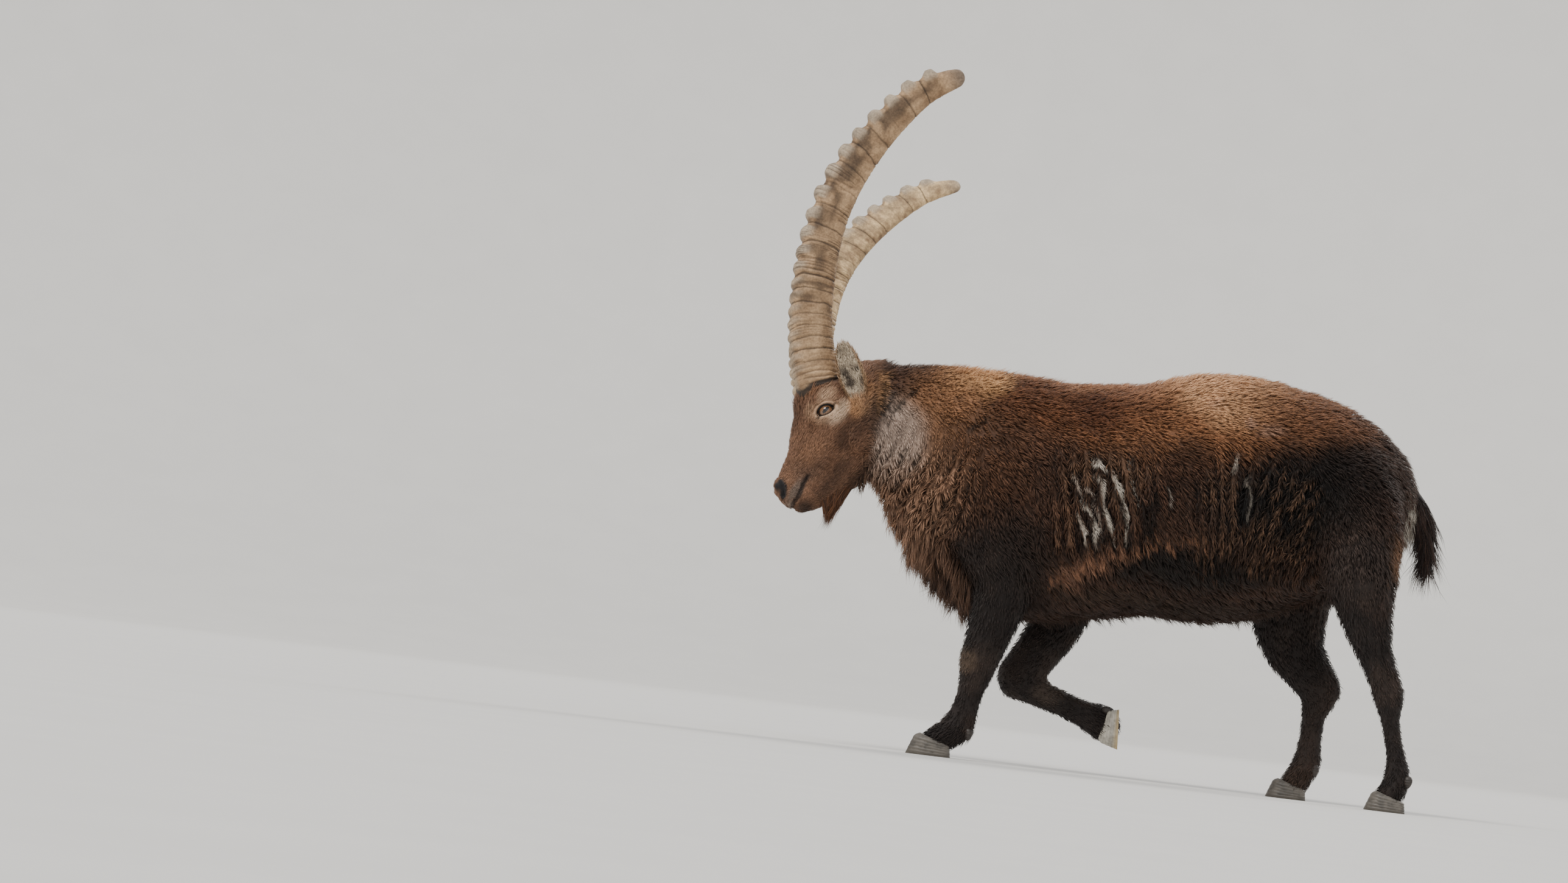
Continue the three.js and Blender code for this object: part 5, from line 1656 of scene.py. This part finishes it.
EYE = eye_material()
for side, name in SIDES:
    turns = round_angles(EYE_STEPS)
    rings = []
    for tilt in np.linspace(0.02, math.pi - 0.02, EYE_STEPS // 2):
        r = math.sin(tilt)
        outward = np.full(EYE_STEPS, math.cos(tilt))
        rings.append(np.stack([r * np.cos(turns), outward, r * np.sin(turns)], axis=1))
    rings = np.array(rings)
    # The clear front stands out a little
    bulge = 1 + 0.05 * ramp(rings[..., 1], 0.72, 0.98)
    local = rings * bulge[..., None] * EYE_RADIUS * [1, side, 1] + EYE_CENTRE * [1, side, 1]
    points, tris = tube(from_skull(local.reshape(-1, 3)).reshape(rings.shape))
    mesh = new_mesh(name + "_eyeball", place(points), tris)
    gaze = np.concatenate([rings.reshape(-1, 3), [[0, 1, 0], [0, -1, 0]]])
    tell(mesh, "gaze", gaze, "FLOAT_VECTOR")
    keep(mesh, name + "_eyeball", "eye", EYE, name + "_eye")

# Lids: a ring of skin from the eyeball out to the face. The shares of the eye's opening at which its
# rows lie, and how thick the lid is at the first of them
LID_SIDES = 84
LID_SHARES = np.concatenate([[0.93, 0.96, 0.99, 1.02, 1.06, 1.11, 1.17], np.linspace(1.24, 2.15, 19)])
LID_THICK = [-2.0, -0.3, 0.9, 1.5, 1.7, 1.5, 1.2]
LID_RIM = paint(24, 19, 18)
LID_PALE = paint(196, 168, 140)
UPPER_FOLD = 1.36


def crease_at(share, middle, width):
    """1 along the middle of a crease, 0 beside it."""
    return np.exp(-(((share - middle) / width) ** 2))


def outward_to_skin(x, z, side):
    """How far out from the eye's centre the face's skin lies."""
    low, high = np.full(len(x), -12.0), np.full(len(x), 40.0)
    for _ in range(12):
        middle = (low + high) / 2
        e = np.stack([x, middle, z], axis=1)
        out = face_skin(from_skull((e + EYE_CENTRE) * [1, side, 1])) > 0
        low, high = np.where(out, low, middle), np.where(out, middle, high)
    return low


for side, name in SIDES:
    turns = round_angles(LID_SIDES)
    share = np.repeat(LID_SHARES, LID_SIDES)
    turn = np.tile(turns, len(LID_SHARES))
    c, o = np.cos(turn), np.sin(turn)
    x = share * LID_LONG * c
    almond = np.abs(o) ** (0.3 * ramp(share, 1.7, 1.0))
    z = share * np.where(o > 0, LID_HIGH, LID_LOW) * o * almond + LID_TILT * x
    ball = np.sqrt(np.maximum((EYE_RADIUS + 0.4) ** 2 - x**2 - z**2, 0))
    thick = np.interp(share, LID_SHARES[:len(LID_THICK)], LID_THICK)
    upper, lower = ramp(o, 0.05, 0.5), ramp(o, -0.05, -0.5)
    fold = -1.6 * upper * crease_at(share, UPPER_FOLD, 0.07)
    fold -= lower * (0.8 * crease_at(share, 1.32, 0.06) + 0.6 * crease_at(share, 1.55, 0.06))
    lift = mix(1.0, -2.2, ramp(share, 1.5, 2.15)) + fold
    y = mix(ball + thick, outward_to_skin(x, z, side) + lift, ramp(share, 1.02, 1.42))
    local = (np.stack([x, y, z], axis=1) + EYE_CENTRE) * [1, side, 1]
    rings = from_skull(local).reshape(len(LID_SHARES), LID_SIDES, 3)
    points, tris = tube(rings)
    # The ring is open: both fans and their middles go
    tris = tris[:-2 * LID_SIDES]
    points = points[:-2]
    back = np.cross(points[tris[:, 1]] - points[tris[:, 0]], points[tris[:, 2]] - points[tris[:, 0]])
    if np.sum(back @ (SKULL_TURN @ np.array([0.0, side, 0.0]))) < 0:
        tris = tris[:, ::-1]
    mesh = new_mesh(name + "_eyelids", place(points), tris)
    colour = coat_colour(points, anatomy(points))
    colour = mix(colour, LID_PALE, 0.4 * (ramp(share, 2.0, 1.3) * ramp(o, 0.8, 0.0))[:, None])
    duct = ramp(np.hypot((x - 19) / 9, (z - 3.0) / 3.6), 1.3, 0.6)
    corner = ramp(np.hypot((x + 20) / 11, (z + 4.5) / 2.8), 1.3, 0.5)
    rim = ramp(share, 1.34 + 0.1 * o, 1.18 + 0.08 * o)
    dark = np.maximum(np.maximum(rim, 0.85 * duct), 0.7 * corner)
    # Painted shade in the fold of the upper lid
    dark = np.maximum(dark, 0.45 * upper * crease_at(share, UPPER_FOLD, 0.06))
    tell_tint(mesh, mix(colour, LID_RIM, dark[:, None]))
    tell(mesh, "reach", np.full(len(points), 0.5))
    tell(mesh, "shade", 0.5 + 0.25 * noise(points, 3, 85))
    tell_unwrap(mesh, tube_uv(tris, len(LID_SHARES), LID_SIDES, LID_SHEET + (side > 0)))
    keep(mesh, name + "_eyelids", "face", FACE)

# Ears: where along the ear its rings lie, its root and its tip
EAR_LEVELS = np.linspace(-0.22, 0.995, 44)
EAR_SIDES = 36
EAR_ROOT = np.array([67.0, 66.0, -37.0])
EAR_TIP = np.array([8.0, 118.0, 60.0])
EAR_OPENING = np.array([0.35, 0.75, -0.2])
EAR_WIDTH = 25
EAR_THICK = 11
EAR_BACK = paint(150, 120, 90)
EAR_PALE = paint(184, 168, 146)
EAR_DARK = paint(52, 42, 37)
EAR_TUFTS = 2600


def ear_points(side):
    """Rings of a leaf-shaped shell with a cup in its open side, and the shares that lie in the cup."""
    axis = EAR_TIP - EAR_ROOT
    length = np.linalg.norm(axis)
    axis = axis / length
    opening = unit(EAR_OPENING - axis * (EAR_OPENING @ axis))
    across = np.cross(axis, opening)
    rings = []
    inner = []
    for t in EAR_LEVELS:
        share = max(t, 0)
        narrow = max(1 - (max(share - 0.42, 0) / 0.585) ** 2.5, 0) ** 0.5
        wide = EAR_WIDTH * (0.62 + 0.38 * ramp(share, 0.0, 0.42)) * narrow
        thick = EAR_THICK * (1 - 0.55 * share) * (0.35 + 0.65 * narrow)
        cup = 1.45 * thick * ramp(t, 0.08, 0.3) * ramp(t, 1.0, 0.86)
        turn = round_angles(EAR_SIDES)
        c, o = np.cos(turn), np.sin(turn)
        rise = o * thick
        dent = np.maximum(o, 0) * cup * (1 - np.abs(c) ** 2.2)
        middle = EAR_ROOT + axis * t * length
        rings.append(middle + across * (c * wide)[:, None] + opening * (rise - dent)[:, None])
        inner.append(np.where(o > 0.05, ramp(1 - np.abs(c), 0.04, 0.25), 0) * ramp(t, 0.05, 0.2))
    rings = np.array(rings) * [1, side, 1]
    return rings, np.array(inner)


for side, name in SIDES:
    rings, inner = ear_points(side)
    world = from_skull(rings.reshape(-1, 3)).reshape(rings.shape)
    points, tris = tube(world)
    mesh = new_mesh(name + "_ear_shell", place(points), tris)
    inside = np.concatenate([inner.ravel(), [0, 0]])[:, None]
    up = np.concatenate([np.repeat(EAR_LEVELS, EAR_SIDES), [0, 1]])
    spots = ramp(noise(points, 9, 80), -0.25, 0.25) * ramp(np.abs(up - 0.4), 0.3, 0.12)
    spots = np.maximum(spots, 0.5 * ramp(noise(points, 14, 82), 0.15, 0.6))[:, None]
    pale = mix(EAR_PALE, EAR_DARK, 0.88 * spots)
    tint = mix(np.tile(EAR_BACK, (len(points), 1)), pale, inside)
    tint = mix(tint, coat_colour(points, anatomy(points)), ramp(up, 0.2, 0.0)[:, None])
    tell_tint(mesh, tint)
    tell(mesh, "reach", np.full(len(points), 0.4))
    tell(mesh, "shade", 0.5 + 0.4 * noise(points, 4, 81))
    ear_uv = tube_uv(tris, len(EAR_LEVELS), EAR_SIDES, EAR_SHEET + (side > 0))
    tell_unwrap(mesh, ear_uv)
    keep(mesh, name + "_ear_shell", "face", FACE, name + "_ear")
    # Short hair over the whole ear that shows
    pick = random.integers(len(tris), size=int(EAR_TUFTS * SHARE))
    corner_share = random.random((len(pick), 3))
    corner_share /= corner_share.sum(axis=1, keepdims=True)
    corner_share = corner_share[:, :, None]
    corners = tris[pick]
    root = np.sum(points[corners] * corner_share, axis=1)
    first, second, third = (points[corners[:, corner]] for corner in range(3))
    normal = unit(np.cross(second - first, third - first))
    leaf = EAR_TIP - EAR_ROOT
    up_ear = (into_skull(root) * [1, side, 1] - EAR_ROOT) @ unit(leaf) / np.linalg.norm(leaf)
    axis = from_skull(EAR_TIP * [1, side, 1]) - from_skull(EAR_ROOT * [1, side, 1])
    flow = unit(axis) + 0.25 * random.normal(size=root.shape)
    flow -= normal * np.sum(flow * normal, axis=1, keepdims=True)
    length = (8 + 6 * random.random(len(root)))[:, None]
    across = unit(np.cross(flow, normal))
    hair = {
        "root": root - normal,
        "knee": root + length * (0.5 * flow + 0.22 * normal),
        "tip": root + length * (flow + 0.25 * normal),
        "across": across,
        "rise": unit(normal) * 0.3,
        "curl": across * 0.3,
        "phase": random.random(len(root)) * WHOLE_TURN,
        "shade": random.random(len(root)),
        "uv": np.sum(ear_uv[pick] * corner_share, axis=1),
        "tint": np.sum(tint[corners] * corner_share, axis=1),
    }
    grow(name + "_ear_hair", "face", FACE, choose(hair, up_ear > -0.14), 2)

# Hooves: two claws a foot
HOOF_LENGTH = 84
CLAW_WIDTH = 31
TOE_HEIGHT = 44
HEEL_HEIGHT = 25
CLAW_SPLIT = 3
CLAW_SIDES = 40
CLAW_LEVELS = np.concatenate([np.linspace(0, 0.8, 12), [0.87, 0.93, 0.97, 0.99, 1.0]])
# Above this share of its height a claw rounds in to its top
DOME_FROM = 0.8
# Each foot: its place, its pitch, its size and its outer side
FEET = {
    "left_foreleg": ((-344, -75, 0), 0, 1.08, -1),
    "right_foreleg": ((32, 84, 98), 94, 0.98, 1),
    "left_hindleg": ((578, -97, 0), 0, 0.98, -1),
    "right_hindleg": ((386, 98, 0), 0, 0.98, 1),
}


def claw_rings(at, pitch, size, side):
    """Rings of one claw from its sole to its top, flat towards the other claw."""
    turn = 2 * math.pi * (np.arange(CLAW_SIDES) + 0.5) / CLAW_SIDES
    c, o = np.cos(turn), np.sin(turn)
    rings = []
    for share in CLAW_LEVELS:
        ripple = 0.35 * math.sin(share * 26) * ramp(share, 0.05, 0.2)
        x = HOOF_LENGTH / 2 * np.sign(c) * np.abs(c) ** 0.8 * (1 - np.where(c > 0, 0.36, 0.1) * share)
        point = np.where(c > 0, 1 - 0.4 * c * c, 1)
        across = np.where(o > 0, 0.42 + 0.58 * np.abs(o) ** 0.8 * point, 0.42 - 0.42 * np.abs(o) ** 0.4)
        y = CLAW_SPLIT / 2 + CLAW_WIDTH * across * (1 - 0.1 * share) + ripple * (o > 0.2)
        top = HEEL_HEIGHT + (TOE_HEIGHT - HEEL_HEIGHT) * (x + HOOF_LENGTH / 2) / HOOF_LENGTH
        dome = 1 - 0.3 * (max(share - DOME_FROM, 0) / 0.2) ** 3
        y = CLAW_SPLIT / 2 + CLAW_WIDTH / 2 + (y - CLAW_SPLIT / 2 - CLAW_WIDTH / 2) * dome
        rings.append(np.stack([(x + ripple * c) * dome, y * side, share * top], axis=1))
    rings = np.array(rings) * [-size, size, size]
    return rings @ turn_y(-math.radians(pitch)).T + np.array(at, float)


def hoof_material(name, wall, edge):
    """Worn hoof with growth lines, and another colour along the edge of its sole."""
    material, tree, shader = new_material(name)
    high = tree.told("high", "Fac")
    wear = speckle(tree, tree.own_place(), 60.0, 5.0)
    lines = tree.number("ADD", tree.times(high, 9.0), tree.times(wear, 1.2))
    ripple = tree.number("SINE", tree.times(lines, 5.0))
    worn = spread(tree, wear, 0.35, 0.7, 0.0, 1.0)
    base = blend(tree, worn, paint(*wall), paint(*(value * 0.7 for value in wall)))
    base = blend(tree, spread(tree, high, 0.0, 0.3, 0.8, 0.0), base, paint(*edge))
    base = blend(tree, spread(tree, ripple, 0.2, 1.0, 0.0, 0.18), base, paint(60, 54, 48))
    tree.link(base, shader.inputs["Base Color"])
    set_inputs(shader, Roughness=0.5)
    bump(tree, shader, tree.number("ADD", tree.times(ripple, 0.4), wear), BUMP_HEIGHT, 0.6)
    return material


def tell_height(mesh, rings):
    """Stores how high each vertex of a tube lies, 0 at its first ring and 1 at its last."""
    levels = np.repeat(np.linspace(0, 1, len(rings)), rings.shape[1])
    tell(mesh, "high", np.concatenate([levels, [0, 1]]))


GREY_HOOF = hoof_material("grey_hoof", (104, 98, 90), (74, 68, 60))
# A paler copy of the hoof material that paints sunlight on the raised far foreleg's hoof
SUNLIT_HOOF = hoof_material("sunlit_hoof", (196, 190, 176), (176, 150, 96))
for foot, (at, pitch, size, side) in FEET.items():
    for claw, mirror in (("outer", side), ("inner", -side)):
        rings = claw_rings(at, pitch, size, mirror)
        points, tris = tube(rings)
        name = foot + "_" + claw + "_hoof"
        mesh = new_mesh(name, place(points), tris)
        tell_height(mesh, rings)
        # The raised far foreleg gets the copy with painted sunlight
        material = SUNLIT_HOOF if foot == "right_foreleg" else GREY_HOOF
        keep(mesh, name, "hoof", material, foot + "_" + claw + "_claw")

# Dewclaws above the heels, for each of the feet in turn: outer, inner, and the foot's pitch
DEWCLAWS = [
    ((-268, -88, 52), (-268, -62, 52), 0), ((6, 97, 134), (6, 71, 134), 94),
    ((618, -110, 64), (618, -84, 64), 0), ((438, 85, 64), (438, 111, 64), 0),
]
DARK_HOOF = hoof_material("dark_hoof", (58, 50, 45), (48, 42, 38))
DEWCLAW_SIDES = 20
DEWCLAW_SIZE = (9, 7, 13)
for foot, (outer, inner, pitch) in zip(FEET, DEWCLAWS):
    for number, at in enumerate((outer, inner)):
        turn = round_angles(DEWCLAW_SIDES)
        deep, wide, tall = DEWCLAW_SIZE
        rings = []
        for tilt in np.linspace(0.03, math.pi - 0.03, 12):
            r = math.sin(tilt) * (1 - 0.25 * math.cos(tilt))
            height = np.full(DEWCLAW_SIDES, -tall * math.cos(tilt))
            rings.append(np.stack([deep * r * np.cos(turn), wide * r * np.sin(turn), height], axis=1))
        rings = np.array(rings) @ turn_y(-math.radians(pitch)).T + np.array(at, float)
        points, tris = tube(rings)
        name = f"{foot}_dewclaw_{number + 1}"
        mesh = new_mesh(name, place(points), tris)
        tell_height(mesh, rings)
        keep(mesh, name, "hoof", DARK_HOOF)

# Hair over the tops of the hooves and round the horns' roots
HOOF_TUFTS = 1700
CROWN_TUFTS = 1800
near_floor = middle_of[:, 2] < 72
raised = (middle_of[:, 0] > -30) & (middle_of[:, 0] < 40) & (middle_of[:, 1] > 40) & (middle_of[:, 2] < 150)
fringe_roots = scatter(int(HOOF_TUFTS * SHARE), open_skin * (quad_leg * (near_floor | raised)))
fringe = drape(fringe_roots, np.full(len(fringe_roots["root"]), 1.3), gather=0.4, grow_by=1.8, stand=1.4)
grow("hoof_fringe", "coat", COAT, fringe, 2)
crown = (np.abs(quad_q[:, 0] - 106) < 56) & (quad_q[:, 1] < 64) & (quad_q[:, 2] > 26)
crown_roots = scatter(int(CROWN_TUFTS * SHARE), open_skin * crown)
crown_hair = drape(crown_roots, np.full(len(crown_roots["root"]), 0.9), gather=0.4, grow_by=1.6, stand=1.9)
grow("crown_hair", "face", FACE, crown_hair, 2)

# Tail: its dock, dressed with long hair
DOCK = [
    (520, 0, 648, 26, 24), (566, 0, 634, 23, 21), (592, 0, 598, 18, 17), (603, 0, 552, 13, 13),
    (606, 0, 512, 9, 10),
]
DOCK_DEPTH = 4
DOCK_LOW = (480, -60, 480)
DOCK_HIGH = (650, 60, 700)
TAIL_CELL = 5.0
TAIL_TUFTS = 3600
TAIL_FROM = 560
TAIL_COLOUR = paint(34, 26, 24)
TAIL_LIGHT = paint(74, 54, 44)
dock = Sweep(DOCK)


def dock_outline(points):
    return dock.distance(points)[0]


def dock_skin(points):
    return dock_outline(points) + DOCK_DEPTH


tail_points, tail_quads = surface(dock_skin, DOCK_LOW, DOCK_HIGH, TAIL_CELL)
tail_mesh = new_mesh("tail_dock", place(tail_points), tail_quads)
tell_tint(tail_mesh, np.tile(TAIL_COLOUR, (len(tail_points), 1)))
tell(tail_mesh, "reach", np.full(len(tail_points), 0.3))
tell(tail_mesh, "shade", 0.5 + 0.4 * noise(tail_points, 6, 90))


def tail_uv(points):
    low, high = np.array(DOCK_LOW[1:]), np.array(DOCK_HIGH[1:])
    return on_sheet(TAIL_SHEET, SHEET_FILL * (points[..., 1:] - low) / (high - low))


tell_unwrap(tail_mesh, tail_uv(tail_points[tail_quads]))
keep(tail_mesh, "tail_dock", "coat", COAT, "tail")
pick = random.integers(len(tail_points), size=int(TAIL_TUFTS * SHARE))
pick = pick[tail_points[pick, 0] > TAIL_FROM]
_, tail_slope = slope_of(dock_outline, tail_points[pick], 1.0)
tail_roots = {"root": tail_points[pick], "normal": unit(tail_slope), "uv": tail_uv(tail_points[pick])}
down = ramp(tail_points[pick, 2], 640, 520)
drop = np.stack([mix(22.0, 2.0, down), 7 * random.normal(size=len(pick)), mix(-72.0, -64.0, down)], axis=1)
drop[:, 0] += mix(9, 16, down) * random.normal(size=len(pick))
tail_tint = mix(TAIL_COLOUR, TAIL_LIGHT, random.random((len(pick), 1)) ** 3)
tail_hair = hang(tail_roots, drop, 1.2, 15, 0.7, tail_tint, bow=0.1, curl=0.07)
grow("tail_hair", "coat", COAT, tail_hair, 4, fullness=0.3, waves=4.0)


# Studio: a pale floor that rises into a wall all round, soft lights and the camera
FLOOR_REACH = 26.0
WALL_CURVE = 8.0
WALL_HEIGHT = 9.0
FLOOR_SIDES = 96
CURVE_STEPS = 24


def studio():
    flat = FLOOR_REACH - WALL_CURVE
    profile = [(0.01, 0.0), (flat, 0.0)]
    for turn in np.linspace(0, math.pi / 2, CURVE_STEPS)[1:]:
        profile.append((flat + WALL_CURVE * math.sin(turn), WALL_CURVE * (1 - math.cos(turn))))
    profile.append((FLOOR_REACH, WALL_HEIGHT))
    turns = round_angles(FLOOR_SIDES)
    flat_ring = np.stack([np.cos(turns), np.sin(turns), np.zeros(FLOOR_SIDES)], axis=1)
    rings = np.array([flat_ring * reach + [0, 0, height] for reach, height in profile])
    count, sides, _ = rings.shape
    r = np.arange(count - 1)[:, None] * sides
    s = np.arange(sides)[None]
    t = (s + 1) % sides
    quads = np.stack([r + s, r + sides + s, r + sides + t, r + t], axis=-1).reshape(-1, 4)
    mesh = new_mesh("studio_floor", rings.reshape(-1, 3), quads)
    material, tree, shader = new_material("studio_floor")
    base = blend(tree, speckle(tree, tree.own_place(), 3.0), paint(212, 210, 206), paint(220, 218, 214))
    tree.link(base, shader.inputs["Base Color"])
    set_inputs(shader, Roughness=0.9)
    mesh.materials.append(material)
    floor = bpy.data.objects.new("studio_floor", mesh)
    bpy.context.scene.collection.objects.link(floor)


studio()


def soft_light(name, at, strength, spread_of, colour):
    """A distant soft light that shines from one side on floor, wall and animal alike."""
    data = bpy.data.lights.new(name, "SUN")
    data.energy = strength
    data.angle = math.radians(spread_of)
    data.color = colour
    light = bpy.data.objects.new(name, data)
    light.location = at
    light.rotation_euler = (-Vector(at)).to_track_quat("-Z", "Y").to_euler()
    bpy.context.scene.collection.objects.link(light)


soft_light("key", (-2.0, -3.0, 5.0), 2.1, 24, (1.0, 0.97, 0.92))
soft_light("fill", (2.5, -6.0, 2.5), 0.5, 60, (0.94, 0.97, 1.0))
soft_light("back", (3.0, 4.5, 4.5), 1.6, 24, (1.0, 0.97, 0.93))

world = bpy.data.worlds.new("studio_air")
world.use_nodes = True
set_inputs(world.node_tree.nodes["Background"], Color=(0.86, 0.88, 0.92, 1.0), Strength=0.75)
bpy.context.scene.world = world

# The camera's place, what it looks at, its roll, and how much of the animal each pixel shows
CAMERA_AT = place([-50, -12000, 120])
CAMERA_TO = place([-713, 0, 597])
CAMERA_ROLL = math.radians(7)
SENSOR = 36.0
MM_PER_PIXEL = 1.24
IMAGE_WIDTH = 2576


def stand_camera():
    """The camera of the view that the table's places were measured in."""
    ahead = unit(CAMERA_TO - CAMERA_AT)
    right = unit(np.cross(ahead, [0, 0, 1]))
    up = np.cross(right, ahead)
    c, s = math.cos(CAMERA_ROLL), math.sin(CAMERA_ROLL)
    across = c * right + s * up
    upright = c * up - s * right
    data = bpy.data.cameras.new("camera")
    data.sensor_width = SENSOR
    far = np.linalg.norm(CAMERA_TO - CAMERA_AT) / MM
    data.lens = far / MM_PER_PIXEL * SENSOR / IMAGE_WIDTH
    data.clip_end = 200
    camera = bpy.data.objects.new("camera", data)
    turn = np.stack([across, upright, -ahead], axis=1)
    matrix = Matrix([[*turn[row], CAMERA_AT[row]] for row in range(3)] + [[0, 0, 0, 1]])
    camera.matrix_world = matrix
    bpy.context.scene.collection.objects.link(camera)
    bpy.context.scene.camera = camera


stand_camera()
